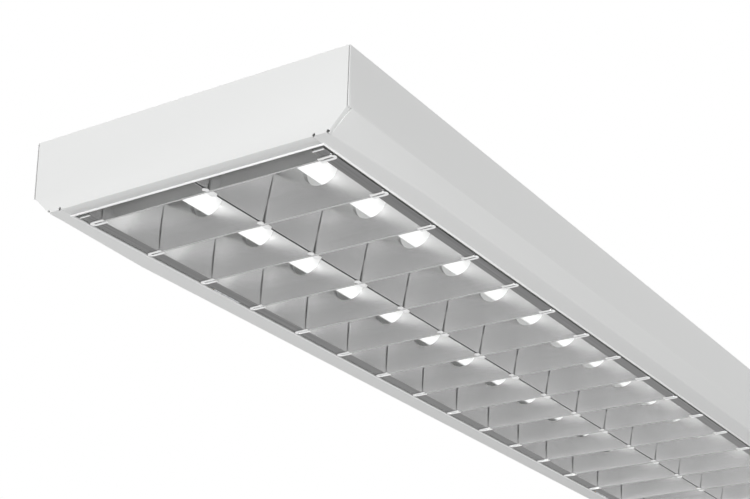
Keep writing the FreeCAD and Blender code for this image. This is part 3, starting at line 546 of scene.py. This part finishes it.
def soften(piece: Piece, width: float, angle: float, segments: int,
           chosen: Callable[[Vector, Vector], bool] | None = None) -> None:
    """Round a piece's sharp edges.

    Args:
        piece: The mesh object.
        width: The bevel's width in millimetres.
        angle: Edges that turn by less than this, in degrees, stay.
        segments: The number of faces across the round.
        chosen: Tells from an edge's two ends, in millimetres, whether it is rounded.
    """
    work = bmesh.new()
    work.from_mesh(piece.data)
    edges = []
    for edge in work.edges:
        if len(edge.link_faces) != 2 or edge.calc_face_angle(0.0) < math.radians(angle):
            continue
        first, second = (vertex.co / MM for vertex in edge.verts)
        if chosen is None or chosen(first, second):
            edges.append(edge)
    bmesh.ops.bevel(work, geom=edges, offset=width * MM, offset_type="OFFSET",
                    segments=segments, profile=0.5, affect="EDGES", clamp_overlap=True)
    work.to_mesh(piece.data)
    work.free()
    for polygon in piece.data.polygons:
        polygon.use_smooth = True
    piece.data.set_sharp_from_angle(angle=math.radians(ROUNDED_SMOOTH_ANGLE))


def merged_copy(node: str, name: str) -> Piece:
    """Copy a CAD node's mesh into a new piece with its loose triangles merged.

    Args:
        node: The CAD node.
        name: The new piece's name.

    Returns:
        The new object.
    """
    work = bmesh.new()
    work.from_mesh(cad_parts[node].data)
    bmesh.ops.remove_doubles(work, verts=work.verts, dist=WELD_REACH)
    bmesh.ops.dissolve_limit(work, angle_limit=math.radians(FLAT_ANGLE), verts=work.verts,
                             edges=work.edges)
    bmesh.ops.scale(work, vec=(1 / MM,) * 3, verts=work.verts)
    return mesh_piece(name, work)


def keep(piece: Piece, finish: str, body: Carrier, *nodes: str) -> Piece:
    """Dress a finished piece, let it ride on a body and stand for CAD nodes.

    Args:
        piece: The finished mesh object.
        finish: The finish's name.
        body: The body that carries it.
        nodes: The CAD nodes that it replaces.

    Returns:
        The piece.
    """
    PALETTE.dress(piece, finish)
    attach(piece, body.value)
    if nodes:
        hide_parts(*nodes)
    LOG.info("%s rides on %s", piece.name, body.value)
    return piece


# ---- geometry nodes


def copies_tree(name: str, sizes: Sequence[Size], maker: str, feeds: dict[str, str]) -> Tree:
    """Build a Geometry Nodes tree that puts a copy of a piece on each point of a mesh.

    Args:
        name: The tree's name.
        sizes: The name, type and default value of each input that shapes the points.
        maker: The type of the node that makes the points.
        feeds: The name of that node's input that each of them feeds.

    Returns:
        A tree with the inputs Geometry, the sizes and Finish.
    """
    tree = bpy.data.node_groups.new(name, "GeometryNodeTree")
    group_inputs(tree, [("Geometry", "Geometry", None), *sizes, ("Finish", "Material", None)])
    tree.interface.new_socket("Geometry", in_out="OUTPUT", socket_type="NodeSocketGeometry")
    nodes, links = tree.nodes, tree.links
    given, out = nodes.new("NodeGroupInput"), nodes.new("NodeGroupOutput")
    points = nodes.new(maker)
    for size, entry in feeds.items():
        links.new(given.outputs[size], points.inputs[entry])
    copies = nodes.new("GeometryNodeInstanceOnPoints")
    links.new(points.outputs["Mesh"], copies.inputs["Points"])
    links.new(given.outputs["Geometry"], copies.inputs["Instance"])
    solid = nodes.new("GeometryNodeRealizeInstances")
    links.new(copies.outputs["Instances"], solid.inputs["Geometry"])
    paint = nodes.new("GeometryNodeSetMaterial")
    links.new(solid.outputs["Geometry"], paint.inputs["Geometry"])
    links.new(given.outputs["Finish"], paint.inputs["Material"])
    links.new(paint.outputs["Geometry"], out.inputs["Geometry"])
    return tree


def row_tree() -> Tree:
    """Build the tree that repeats a piece along a straight row.

    Returns:
        A tree with the inputs Geometry, Count, Start, Step and Finish.
    """
    return copies_tree("row_of_copies", (
        ("Count", "Int", 2), ("Start", "Vector", (0.0, 0.0, 0.0)),
        ("Step", "Vector", (0.0, 0.1, 0.0)),
    ), "GeometryNodeMeshLine", {"Count": "Count", "Start": "Start Location", "Step": "Offset"})


def corners_tree() -> Tree:
    """Build the tree that puts a piece at the crossings of a flat grid round the origin.

    Returns:
        A tree with the inputs Geometry, Across, Along, Spread Across, Spread Along and Finish.
    """
    return copies_tree("grid_of_copies", (
        ("Across", "Int", 2), ("Along", "Int", 2), ("Spread Across", "Float", 0.1),
        ("Spread Along", "Float", 0.1),
    ), "GeometryNodeMeshGrid", {"Across": "Vertices X", "Along": "Vertices Y",
                                "Spread Across": "Size X", "Spread Along": "Size Y"})


def repeat(piece: Piece, tree: Tree, finish: str, **values: object) -> Piece:
    """Run a repeating tree on a piece and keep the plain mesh that it makes.

    Args:
        piece: The piece that is repeated, modelled round the origin.
        tree: One of the Geometry Nodes trees above.
        finish: The finish's name.
        values: The tree's inputs, with underscores for spaces.

    Returns:
        The piece with all its copies.
    """
    modifier = piece.modifiers.new("copies", "NODES")
    modifier.node_group = tree
    wanted = {name.replace("_", " "): value for name, value in values.items()}
    wanted["Finish"] = PALETTE.materials[finish]
    for item in tree.interface.items_tree:
        if item.item_type == "SOCKET" and item.in_out == "INPUT" and item.name in wanted:
            modifier[item.identifier] = wanted[item.name]
    piece.update_tag()
    return settled(piece)


# ---- housing


@dataclass
class Housing:
    """The folded tray with its two end plates.

    Sizes are in millimetres and follow the solids. A point within near of a bend is on it.
    """

    half_length: float = 615.0
    half_width: float = 152.0
    sheet: float = 0.8
    floor_level: float = -67.0
    panel_level: float = -50.6
    panel_reach: float = 150.5
    lip_reach: float = 133.0
    bend_angle: float = 12.0
    tray_round: float = 1.0
    tray_edge: float = 0.12
    plate_round: float = 0.7
    plate_edge: float = 0.1
    long_bend: float = 20.0
    short_bend: float = 4.0
    near: float = 0.05
    opening_half_width: float = 119.8
    opening_half_length: float = 600.0
    rim_radius: float = 1.0
    rim_smooth: float = 50.0
    rim_steps: int = 8

    def build(self) -> None:
        """Make the tray, both end plates and the rim."""
        self.rim()
        tray = merged_copy("housing_tray", "folded_tray")
        soften(tray, self.tray_round, self.bend_angle, 4, self.is_tray_bend)
        soften(tray, self.tray_edge, SHARP_EDGE, 1)
        keep(tray, "white_powder_coat", Carrier.HOUSING, "housing_tray")
        for node in ("end_plate_near", "end_plate_far"):
            plate = merged_copy(node, node + "_folded")
            soften(plate, self.plate_round, self.bend_angle, 3, self.is_plate_bend)
            soften(plate, self.plate_edge, SHARP_EDGE, 1)
            keep(plate, "white_powder_coat", Carrier.HOUSING, node)

    def rim(self) -> None:
        """Make the small rolled bead round the opening's lower edge, in a coat brighter than the
        powder coat: a painted highlight.
        """
        bead = arc((self.rim_radius, 0.0), self.rim_radius, 180.0, 360.0, self.rim_steps)
        work = bmesh.new()
        rows = [[work.verts.new((right * (self.opening_half_width + out),
                                 ahead * (self.opening_half_length + out),
                                 self.floor_level + up)) for out, up in bead]
                for right, ahead in ((1, -1), (1, 1), (-1, 1), (-1, -1))]
        for first, second in zip(rows, rows[1:] + rows[:1]):
            add_band(work, first, second)
        keep(mesh_piece("opening_rim", work, self.rim_smooth), "painted_highlight_edge_coat",
             Carrier.HOUSING)

    def is_tray_bend(self, first: Vector, second: Vector) -> bool:
        """Tell whether an edge is one of the tray's outer bends, which run lengthways.

        Args:
            first: The edge's first end.
            second: The edge's second end.

        Returns:
            True for an edge that gets the bend's round.
        """
        if abs(first.y - second.y) < self.long_bend:
            return False
        return all(self.on_outer_skin(abs(point.x), point.z) for point in (first, second))

    def on_outer_skin(self, across: float, up: float) -> bool:
        """Tell whether a point is on the tray's outer bend lines.

        Args:
            across: Its distance from the middle.
            up: Its height.

        Returns:
            True on one of the lines.
        """
        top = abs(up) < self.near and abs(across - self.half_width) < 2 * self.near
        middle = abs(up - self.panel_level) < 2 * self.near and across > self.panel_reach
        lower = abs(up - self.floor_level) < self.near and across > self.lip_reach
        return top or middle or lower

    def is_plate_bend(self, first: Vector, second: Vector) -> bool:
        """Tell whether an edge is on the outline of an end plate's outer face.

        Args:
            first: The edge's first end.
            second: The edge's second end.

        Returns:
            True for an edge that gets the bend's round.
        """
        ends = (first, second)
        outer = all(abs(abs(point.y) - self.half_length) < self.near for point in ends)
        under_top = all(abs(point.z + self.sheet) < self.near for point in ends)
        return outer and not under_top and (first - second).length > self.short_bend


# ---- louvre


@dataclass
class Louvre:
    """The cross-blade louvre: two outer reflectors, the centre profile and 17 blades.

    The trees rows and corners repeat a piece along a row and at the crossings of a grid.
    Sizes are in millimetres and follow the solids.
    """

    rows: Tree
    corners: Tree
    length: float = 1192.4
    floor: float = -67.0
    depth: float = 41.0
    sheet: float = 0.5
    flange_outer: float = 117.4
    flank_bottom: float = 106.7
    flank_top: float = 101.2
    flank_radius: float = 260.0
    flank_steps: int = 24
    top_flange: float = 5.0
    bend_margin: float = 0.4
    # height of the painted shade above the louvre's floor
    shade_height: float = 3.0
    centre_rise: float = 1.0
    centre_bottom: float = 1.4
    centre_top: float = 12.2
    centre_radius: float = 400.0
    centre_steps: int = 20
    groove_half: float = 1.0
    groove_depth: float = 0.8
    blade_count: int = 17
    pitch: float = 72.6
    blade_drop: float = 1.0
    blade_bottom: float = 0.7
    blade_top: float = 4.5
    blade_spare: float = 2.0
    blade_round: float = 0.1
    fold_end: float = 355.5
    fold_steps: int = 6
    fold_shade_height: float = 0.75
    blade_end_gap: float = 0.15
    slot_reach: float = 20.0
    cut_reach: float = 8.0
    cut_spare: float = 5.0
    lap_height: float = 20.0
    lap_gap: float = 0.3
    notch_centre: Spot = (57.2, -29.0)
    notch_radius: float = 18.0
    notch_flare: float = 2.4
    notch_steps: int = 32
    tongue_tip: float = 118.4
    tongue_root: float = 103.4
    tongue_width: float = 7.2
    tongue_slot: float = 1.7
    tongue_round: float = 0.3
    tongue_steps: tuple[int, int] = (14, 8)
    tab_side: tuple[Spot, ...] = ((0.7, -6.4), (2.5, -4.6), (2.5, -2.2), (1.2, -0.8), (1.2, 0.8),
                                  (3.0, 2.6), (3.0, 8.0), (0.8, 10.0))
    tab_thickness: float = 0.8
    tab_round: float = 0.12
    tab_edge: float = 40.0
    bar_half: float = 0.8
    bar_drop: float = 0.9
    bar_round: float = 0.2

    @property
    def top(self) -> float:
        """Height of the louvre's upper edge."""
        return self.floor + self.depth

    def build(self) -> None:
        """Make the louvre's pieces."""
        self.end_bars()
        for side in Side:
            self.reflector(side)
        self.centre_profile()
        self.centre_tabs()
        self.blades()

    def bow(self, start: Spot, end: Spot, radius: float, steps: int, bulge: int) -> list[Spot]:
        """Return points on a flat arc that bulges to the right (1) or left (-1) of its chord.

        Args:
            start: The first point.
            end: The last point.
            radius: The arc's radius.
            steps: The number of straight pieces.
            bulge: The side that it bulges to.

        Returns:
            The points, one more than the pieces.
        """
        chord = Vector(end) - Vector(start)
        middle = (Vector(start) + Vector(end)) / 2
        left = Vector((-chord.y, chord.x)).normalized() * bulge
        reach = math.sqrt(radius ** 2 - (chord.length / 2) ** 2)
        centre = middle + left * reach
        first = Vector(start) - centre
        sweep = math.atan2(first.cross(Vector(end) - centre), first.dot(Vector(end) - centre))
        return [tuple(centre + Matrix.Rotation(sweep * step / steps, 2) @ first)
                for step in range(steps + 1)]

    def reflector(self, side: Side) -> None:
        """Make one outer reflector with its flange, curved flank and top flange.

        Args:
            side: The side that it stands on.
        """
        flank = self.bow((self.flank_bottom, self.floor), (self.flank_top, self.top),
                         self.flank_radius, self.flank_steps, 1)
        line = [(self.flange_outer, self.floor), *flank,
                (self.flank_top + self.top_flange, self.top)]
        ring = sheet_ring(line[::-1], self.sheet)
        sign = side.value
        rings = [[Vector((sign * x, y, z)) for x, z in ring]
                 for y in (-self.length / 2, self.length / 2)]
        work = bmesh.new()
        add_loft(work, rings)
        name = "reflector_" + side.name.lower()
        piece = keep(mesh_piece("outer_" + name, work), "bright_reflector_sheet",
                     Carrier.LOUVRE, "louvre_" + name)
        self.paint_shade(piece, self.flank_bottom + self.bend_margin, self.flange_outer + TOUCH)

    def paint_shade(self, piece: Piece, inner: float, outer: float) -> None:
        """Paint shade on a piece's lowest faces between two distances from the middle, with a dark
        sheet that stands for the shade there.

        Args:
            piece: The reflector.
            inner: The nearer distance in millimetres.
            outer: The further distance in millimetres.
        """
        piece.data.materials.append(PALETTE.materials["painted_shade_flange_sheet"])
        for polygon in piece.data.polygons:
            spot = polygon.center / MM
            # painted shade: faces in this band get the dark sheet
            if inner <= abs(spot.x) <= outer and spot.z < self.floor + self.shade_height:
                polygon.material_index = 1

    def centre_profile(self) -> None:
        """Make the V-shaped centre reflector with a slot over each blade."""
        low = self.floor + self.centre_rise
        flank = self.bow((self.centre_bottom, low), (self.centre_top, self.top),
                         self.centre_radius, self.centre_steps, -1)
        inside = beside([(-x, z) for x, z in reversed(flank)] + flank, self.sheet)
        inside = [(x, max(z, low + self.groove_depth + self.sheet)) for x, z in inside]
        groove = [(self.groove_half, low + self.groove_depth), (self.groove_half, low)]
        skin = groove + flank
        ring = [(-x, z) for x, z in reversed(skin)] + skin + list(reversed(inside))
        work = bmesh.new()
        add_prism(work, ring, -self.length / 2, self.length / 2)
        piece = mesh_piece("centre_reflector", work)
        tool = bmesh.new()
        half = self.blade_half(self.floor + self.lap_height) + self.lap_gap
        for along in self.blade_places():
            add_box(tool, (-self.slot_reach, along - half, self.floor - CUT_PAST),
                    (self.slot_reach, along + half, self.floor + self.lap_height))
        carve(piece, mesh_piece("slots", tool))
        keep(piece, "bright_reflector_sheet", Carrier.LOUVRE, "louvre_centre_profile")
        self.paint_shade(piece, 0.0, self.groove_half + TOUCH)

    def blade_half(self, up: float) -> float:
        """Return half the blade's width at a height."""
        share = (up - self.floor + self.blade_drop) / (self.depth + self.blade_drop)
        return self.blade_bottom + (self.blade_top - self.blade_bottom) * share

    def blade_places(self) -> list[float]:
        """Return the place of each blade along the louvre."""
        return [(index - (self.blade_count - 1) / 2) * self.pitch
                for index in range(self.blade_count)]

    def end_bars(self) -> None:
        """Make the small bars that stiffen the flanges' four ends, in the brighter tab sheet,
        which is a painted highlight.
        """
        width = self.flange_outer - self.flank_bottom - self.bend_margin
        middle = (self.flange_outer + self.flank_bottom) / 2
        work = bmesh.new()
        add_box(work, (-width / 2, -self.bar_half, self.floor - self.bar_drop),
                (width / 2, self.bar_half, self.floor))
        bar = mesh_piece("flange_end_bars", work)
        soften(bar, self.bar_round, SHARP_EDGE, 2)
        repeat(bar, self.corners, "painted_highlight_tab_sheet", Across=2, Along=2,
               Spread_Across=2 * middle * MM,
               Spread_Along=(self.length - 2 * self.bar_half) * MM)
        keep(bar, "painted_highlight_tab_sheet", Carrier.LOUVRE)

    def centre_tabs(self) -> None:
        """Make the bow-tie tabs that hold the centre profile to each blade, in the brighter tab
        sheet, which is a painted highlight.
        """
        low = self.floor + self.centre_rise - self.sheet
        outline = [*self.tab_side, *((-x, y) for x, y in reversed(self.tab_side))]
        work = bmesh.new()
        add_prism(work, outline, low - self.tab_thickness, low, Run.UPRIGHT)
        tab = mesh_piece("centre_tabs", work)
        soften(tab, self.tab_round, self.tab_edge, 2)
        self.repeat_at_blades(tab, "painted_highlight_tab_sheet")
        keep(tab, "painted_highlight_tab_sheet", Carrier.LOUVRE)

    def repeat_at_blades(self, piece: Piece, finish: str) -> None:
        """Repeat a piece, modelled round the middle, at each blade's place."""
        repeat(piece, self.rows, finish, Count=self.blade_count,
               Start=(0.0, self.blade_places()[0] * MM, 0.0), Step=(0.0, self.pitch * MM, 0.0))

    def blades(self) -> None:
        """Make one cross blade and repeat it along the louvre."""
        low = self.floor - self.blade_drop
        fold = arc((0.0, low + self.blade_bottom), self.blade_bottom, 270.0, self.fold_end,
                   self.fold_steps)
        right = fold + [(self.blade_half(self.top), self.top)]
        line = [(-y, z) for y, z in reversed(right[1:])] + right
        ring = sheet_ring(line, self.sheet)
        reach = self.flank_bottom + self.blade_spare
        work = bmesh.new()
        add_loft(work, [[Vector((x, y, z)) for y, z in ring] for x in (-reach, reach)])
        blade = mesh_piece("cross_blades", work)
        carve(blade, self.blade_cutter())
        soften(blade, self.blade_round, SHARP_EDGE, 1)
        tongues = bmesh.new()
        for side in Side:
            self.add_tongue(tongues, side)
        loops = mesh_piece("tongues", tongues)
        soften(loops, self.tongue_round, SHARP_EDGE, 2)
        work = bmesh.new()
        work.from_mesh(blade.data)
        work.from_mesh(loops.data)
        work.to_mesh(blade.data)
        work.free()
        bpy.data.objects.remove(loops)
        self.repeat_at_blades(blade, "bright_louvre_sheet")
        keep(blade, "bright_louvre_sheet", Carrier.LOUVRE,
             *("louvre_blade_%02d" % number for number in range(1, self.blade_count + 1)))
        self.paint_fold_shade_and_tongue_highlight(blade)

    def paint_fold_shade_and_tongue_highlight(self, blade: Piece) -> None:
        """Give the blades' lower folds a darker, duller copy of their sheet, which is painted
        shade, and their tongues a brighter copy, which is a painted highlight.

        Args:
            blade: The piece with all the blades.
        """
        for finish in ("painted_shade_fold_sheet", "painted_highlight_tab_sheet"):
            blade.data.materials.append(PALETTE.materials[finish])
        low = self.floor - self.blade_drop
        for polygon in blade.data.polygons:
            spot = polygon.center / MM
            # painted highlight on the tongues, painted shade on the folds below
            if abs(spot.x) > self.tongue_root and spot.z < self.floor + TOUCH:
                polygon.material_index = 2
            elif spot.z < low + self.fold_shade_height:
                polygon.material_index = 1

    def blade_cutter(self) -> Piece:
        """Make the tool that trims the blade's ends and cuts its notches and centre slot.

        Returns:
            The tool, round the middle of one blade.
        """
        tool = bmesh.new()
        thick, high = self.cut_reach, self.top + CUT_PAST
        low = self.floor - self.blade_drop - CUT_PAST
        lap_at = (self.lap_height - self.centre_rise) / (self.depth - self.centre_rise)
        lap = self.centre_bottom + (self.centre_top - self.centre_bottom) * lap_at + self.lap_gap
        lap_top = self.centre_top + self.lap_gap
        add_prism(tool, [(-lap, self.floor + self.lap_height), (lap, self.floor + self.lap_height),
                         (lap_top, self.top), (lap_top, high), (-lap_top, high),
                         (-lap_top, self.top)], -thick, thick)
        bottom, top = self.flank_bottom - self.blade_end_gap, self.flank_top - self.blade_end_gap
        slope = (bottom - top) / self.depth
        wide = self.notch_radius + self.notch_flare
        for side in Side:
            sign = side.value
            beyond = bottom + self.cut_spare
            end = [(bottom, low), (bottom, self.floor), (top - slope, high), (beyond, high),
                   (beyond, low)]
            add_prism(tool, [(sign * x, z) for x, z in end], -thick, thick)
            middle = self.notch_centre[0]
            notch = arc(self.notch_centre, self.notch_radius, 180.0, 360.0, self.notch_steps)
            notch += [(middle + wide, self.top), (middle + wide, high),
                      (middle - wide, high), (middle - wide, self.top)]
            add_prism(tool, [(sign * x, z) for x, z in notch], -thick, thick)
        return mesh_piece("blade_cutter", tool)

    def add_tongue(self, work: Work, side: Side) -> None:
        """Add the hairpin tongue that holds a blade's end under the reflector's flange.

        Args:
            work: The mesh.
            side: The side that it points to.
        """
        outer, inner = self.tongue_width / 2, self.tongue_slot / 2
        centre = (self.tongue_tip - outer, 0.0)
        root = self.tongue_root
        outer_steps, inner_steps = self.tongue_steps
        outline = [(root, -outer), *arc(centre, outer, -90.0, 90.0, outer_steps), (root, outer),
                   (root, inner), *arc(centre, inner, 90.0, -90.0, inner_steps), (root, -inner)]
        sign = side.value
        add_prism(work, [(sign * x, y) for x, y in outline], self.floor - self.blade_drop,
                  self.floor, Run.UPRIGHT)


# ---- fasteners


@dataclass
class Fasteners:
    """The rivets of the end plates and the screws of the gear cover.

    The tree corners repeats a piece at the crossings of a grid. Sizes are in millimetres and
    follow the solids.
    """

    corners: Tree
    rivet_head: float = 3.2
    rivet_shank: float = 1.6
    rivet_drop: float = 2.6
    rivet_rim: float = 1.6
    dome_angles: tuple[float, ...] = (0.0, 15.0, 30.0, 45.0, 60.0, 72.0)
    mandrel_hole: float = 0.96
    mandrel_depth: float = 0.6
    rivet_spread: Spot = (220.0, 1214.0)
    screw_head: float = 3.2
    screw_shank: float = 1.7
    screw_drop: float = 3.6
    screw_rim: float = 1.4
    screw_edge: tuple[Spot, ...] = ((0.0, 0.5), (0.2, 0.15), (0.7, 0.0))
    screw_spread: Spot = (73.0, 960.0)
    recess_reach: float = 1.7
    recess_half: float = 0.35
    recess_depth: float = 1.2

    def build(self) -> None:
        """Make the rivets and the cover screws."""
        self.rivets()
        self.cover_screws()

    def rivets(self) -> None:
        """Make the domed blind rivets with the mandrel's hole in each head."""
        rise = self.rivet_drop - self.rivet_rim
        turns = [math.radians(turn) for turn in self.dome_angles]
        dome = [(self.rivet_head * math.cos(turn), -self.rivet_rim - rise * math.sin(turn))
                for turn in turns]
        profile = [(self.rivet_shank, 0.0), (self.rivet_shank, -self.rivet_rim), *dome,
                   (self.mandrel_hole, -self.rivet_drop),
                   (self.mandrel_hole, self.mandrel_depth - self.rivet_drop)]
        self.spread(profile, "rivet_heads", self.rivet_spread, "end_plate_rivets")

    def cover_screws(self) -> None:
        """Make the pan-head screws with a cross recess in each head."""
        profile = [(self.screw_shank, 0.0), (self.screw_shank, -self.screw_rim),
                   (self.screw_head, -self.screw_rim)]
        profile += [(self.screw_head - inward, up - self.screw_drop)
                    for inward, up in self.screw_edge]
        tool = bmesh.new()
        low, high = -self.screw_drop - CUT_PAST, self.recess_depth - self.screw_drop
        add_prism(tool, self.cross(), low, high, Run.UPRIGHT)
        self.spread(profile, "cover_screws", self.screw_spread, "gear_cover_screws", tool)

    def cross(self) -> list[Spot]:
        """Return the outline of the cross recess.

        Returns:
            Its twelve corners in order.
        """
        far, near = self.recess_reach, self.recess_half
        quarter = [(far, -near), (far, near), (near, near)]
        return [(x * across - y * along, x * along + y * across)
                for across, along in ((1, 0), (0, 1), (-1, 0), (0, -1)) for x, y in quarter]

    def spread(self, profile: Sequence[Spot], name: str, spread: Spot, node: str,
               recess: Work | None = None) -> None:
        """Turn a fastener, cut its recess and repeat it at four corners.

        Args:
            profile: The fastener's radius and height from its shank's top to its head.
            name: The piece's name.
            spread: The distance between two of them across and along.
            node: The CAD node that it replaces.
            recess: The tool that cuts the recess, if it has one.
        """
        work = bmesh.new()
        add_turned(work, profile)
        piece = mesh_piece(name, work)
        if recess is not None:
            carve(piece, mesh_piece("recess", recess))
        repeat(piece, self.corners, "zinc_plate", Across=2, Along=2, Spread_Across=spread[0] * MM,
               Spread_Along=spread[1] * MM)
        keep(piece, "zinc_plate", Carrier.HOUSING, node)


# ---- dressed CAD nodes


NODE_ROUND = 0.15
NODE_EDGE = 35.0
DRESSING: dict[str, tuple[str, ...]] = {
    "white_powder_coat": ("gear_cover",),
    "phosphor_white_glass": ("tube_glass_left", "tube_glass_right"),
    "cap_aluminium": ("tube_caps_left", "tube_caps_right"),
    "pin_brass": ("tube_pins_left", "tube_pins_right"),
    "holder_plastic": ("lampholder_left_near", "lampholder_left_far", "lampholder_right_near",
                       "lampholder_right_far"),
    "rotor_plastic": ("holder_rotor_left_near", "holder_rotor_left_far",
                      "holder_rotor_right_near", "holder_rotor_right_far"),
    "gear_case_coat": ("ballast_case",),
    "terminal_plastic": ("ballast_terminals",),
    "block_plastic": ("terminal_block",),
    "grommet_rubber": ("cable_grommet",),
    "fitting_brass": ("earth_stud", "earth_nut", "terminal_screws", "hinge_pins"),
    "lead_insulation": ("leads_near", "leads_far", "mains_leads"),
    "earth_insulation": ("earth_lead",),
    "zinc_plate": ("ballast_screws", "hinge_leaves_tray", "hinge_leaves_louvre",
                   "catch_spring_1", "catch_spring_2", "catch_tab_1", "catch_tab_2"),
}


def dress_nodes() -> None:
    """Give each CAD node that stays its finish and softly rounded edges."""
    for finish, names in DRESSING.items():
        for name in names:
            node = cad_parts[name]
            PALETTE.dress(node, finish)
            weld = node.modifiers.new("weld", "WELD")
            weld.merge_threshold = WELD_REACH
            bevel = node.modifiers.new("edge", "BEVEL")
            bevel.width = NODE_ROUND * MM
            bevel.segments = 2
            bevel.limit_method = "ANGLE"
            bevel.angle_limit = math.radians(NODE_EDGE)
            LOG.info("%s dressed with %s", name, finish)


# ---- stage


@dataclass(frozen=True)
class Lamp:
    """A soft square lamp: where it hangs, the point it faces, its side and its power in watts."""

    name: str
    place: Place
    aim: Place
    side: float
    power: float

    def hang(self) -> None:
        """Make the lamp."""
        data = bpy.data.lights.new(self.name, "AREA")
        data.shape = "SQUARE"
        data.size = self.side
        data.energy = self.power
        lamp = bpy.data.objects.new(self.name, data)
        lamp.location = self.place
        direction = Vector(self.aim) - Vector(self.place)
        lamp.rotation_euler = direction.to_track_quat("-Z", "Y").to_euler()
        bpy.context.scene.collection.objects.link(lamp)


LAMPS = (
    Lamp("key", (0.11, -3.53, -1.61), (0.0, -0.3, -0.03), 0.6, 64.0),
    Lamp("side", (3.1, -0.5, -1.3), (0.0, 0.0, -0.03), 2.0, 26.5),
    Lamp("top", (0.6, -0.6, 3.0), (0.0, 0.0, 0.0), 3.0, 24.0),
)


def either(tree: Tree, *rays: str) -> Socket:
    """Add nodes that tell whether a ray is of one of some kinds.

    Args:
        tree: The node tree.
        rays: The Light Path outputs of those kinds.

    Returns:
        An output that is 1 for such a ray and 0 otherwise.
    """
    path = tree.nodes.new("ShaderNodeLightPath")
    value = path.outputs[rays[0]]
    for ray in rays[1:]:
        value = math_node(tree, "MAXIMUM", value, path.outputs[ray])
    return value


def mixed(tree: Tree, share: Socket, first: Socket, second: Socket) -> Socket:
    """Mix two shaders.

    Args:
        tree: The node tree.
        share: How much of the second shader shows.
        first: The first shader.
        second: The second shader.

    Returns:
        The mixed shader.
    """
    mix = tree.nodes.new("ShaderNodeMixShader")
    for socket, source in zip(mix.inputs, (share, first, second)):
        tree.links.new(source, socket)
    return mix.outputs[0]


@dataclass
class Studio:
    """Camera, pale floor, backdrop light and soft lamps.

    Places are in metres.
    """

    camera_place: Place = (0.70477, -1.45833, -0.60137)
    right: Place = (0.84795127, 0.53002827, 0.00697759)
    down: Place = (-0.20608423, 0.34176895, -0.91690963)
    forward: Place = (-0.48837275, 0.77605671, 0.39903388)
    lens: float = 77.06
    sensor: float = 36.0
    far_clip: float = 50.0
    ambient: float = 0.5
    floor_level: float = -2.4
    floor_reach: float = 12.0
    floor_rough: float = 0.9
    floor_tone: float = 0.56
    floor_gloss: float = 0.85
    floor_lift: float = 0.5
    bounces: int = 24
    glossy_bounces: int = 16
    diffuse_bounces: int = 6

    def build(self) -> None:
        """Set up the whole stage."""
        self.camera()
        self.world()
        self.floor()
        for lamp in LAMPS:
            lamp.hang()
        scene = bpy.context.scene
        scene.view_settings.view_transform = "Standard"
        scene.cycles.max_bounces = self.bounces
        scene.cycles.glossy_bounces = self.glossy_bounces
        scene.cycles.diffuse_bounces = self.diffuse_bounces

    def camera(self) -> None:
        """Put the camera where the photo's perspective says."""
        data = bpy.data.cameras.new("photo_camera")
        data.sensor_width = self.sensor
        data.sensor_fit = "HORIZONTAL"
        data.lens = self.lens
        data.clip_end = self.far_clip
        camera = bpy.data.objects.new("photo_camera", data)
        turn = Matrix((self.right, tuple(-v for v in self.down), tuple(-v for v in self.forward)))
        camera.matrix_world = Matrix.Translation(self.camera_place) @ turn.transposed().to_4x4()
        bpy.context.scene.collection.objects.link(camera)
        bpy.context.scene.camera = camera

    def world(self) -> None:
        """Light softly from all round, with white where the camera or a gloss looks out."""
        world = bpy.data.worlds.new("studio")
        world.use_nodes = True
        bpy.context.scene.world = world
        tree = world.node_tree
        back = tree.nodes["Background"]
        fill(back, {"Color": grey(self.ambient)})
        white = tree.nodes.new("ShaderNodeBackground")
        fill(white, {"Color": grey(1.0)})
        seen = either(tree, "Is Camera Ray", "Is Glossy Ray", "Is Transmission Ray")
        tree.links.new(mixed(tree, seen, back.outputs[0], white.outputs[0]),
                       tree.nodes["World Output"].inputs["Surface"])

    def floor(self) -> None:
        """Lay a pale floor that doesn't hide the luminaire from a camera below it."""
        mesh = bpy.data.meshes.new("pale_floor")
        corners = ((-1, -1), (1, -1), (1, 1), (-1, 1))
        mesh.from_pydata([(x * self.floor_reach, y * self.floor_reach, self.floor_level)
                          for x, y in corners], [], [(0, 1, 2, 3)])
        floor = bpy.data.objects.new("pale_floor", mesh)
        bpy.context.scene.collection.objects.link(floor)
        material = bpy.data.materials.new("pale_floor")
        material.use_nodes = True
        tree = material.node_tree
        nodes = tree.nodes
        shader = nodes["Principled BSDF"]
        fill(shader, {"Base Color": grey(self.floor_tone), "Roughness": self.floor_rough,
                      "Emission Color": grey(1.0)})
        lift = math_node(tree, "MULTIPLY", either(tree, "Is Camera Ray"), self.floor_lift)
        tree.links.new(lift, shader.inputs["Emission Strength"])
        bright = nodes.new("ShaderNodeEmission")
        fill(bright, {"Color": grey(self.floor_gloss)})
        shown = mixed(tree, either(tree, "Is Glossy Ray", "Is Transmission Ray"),
                      shader.outputs[0], bright.outputs[0])
        under = nodes.new("ShaderNodeNewGeometry").outputs["Backfacing"]
        clear = nodes.new("ShaderNodeBsdfTransparent").outputs[0]
        tree.links.new(mixed(tree, under, shown, clear),
                       nodes["Material Output"].inputs["Surface"])
        mesh.materials.append(material)


def main() -> None:
    """Build the luminaire piece by piece."""
    logging.basicConfig(level=logging.INFO, format="%(name)s: %(message)s")
    PALETTE.mix()
    rows, corners = row_tree(), corners_tree()
    Housing().build()
    Louvre(rows, corners).build()
    Fasteners(corners).build()
    dress_nodes()
    Studio().build()


if __name__ == "__main__":
    main()
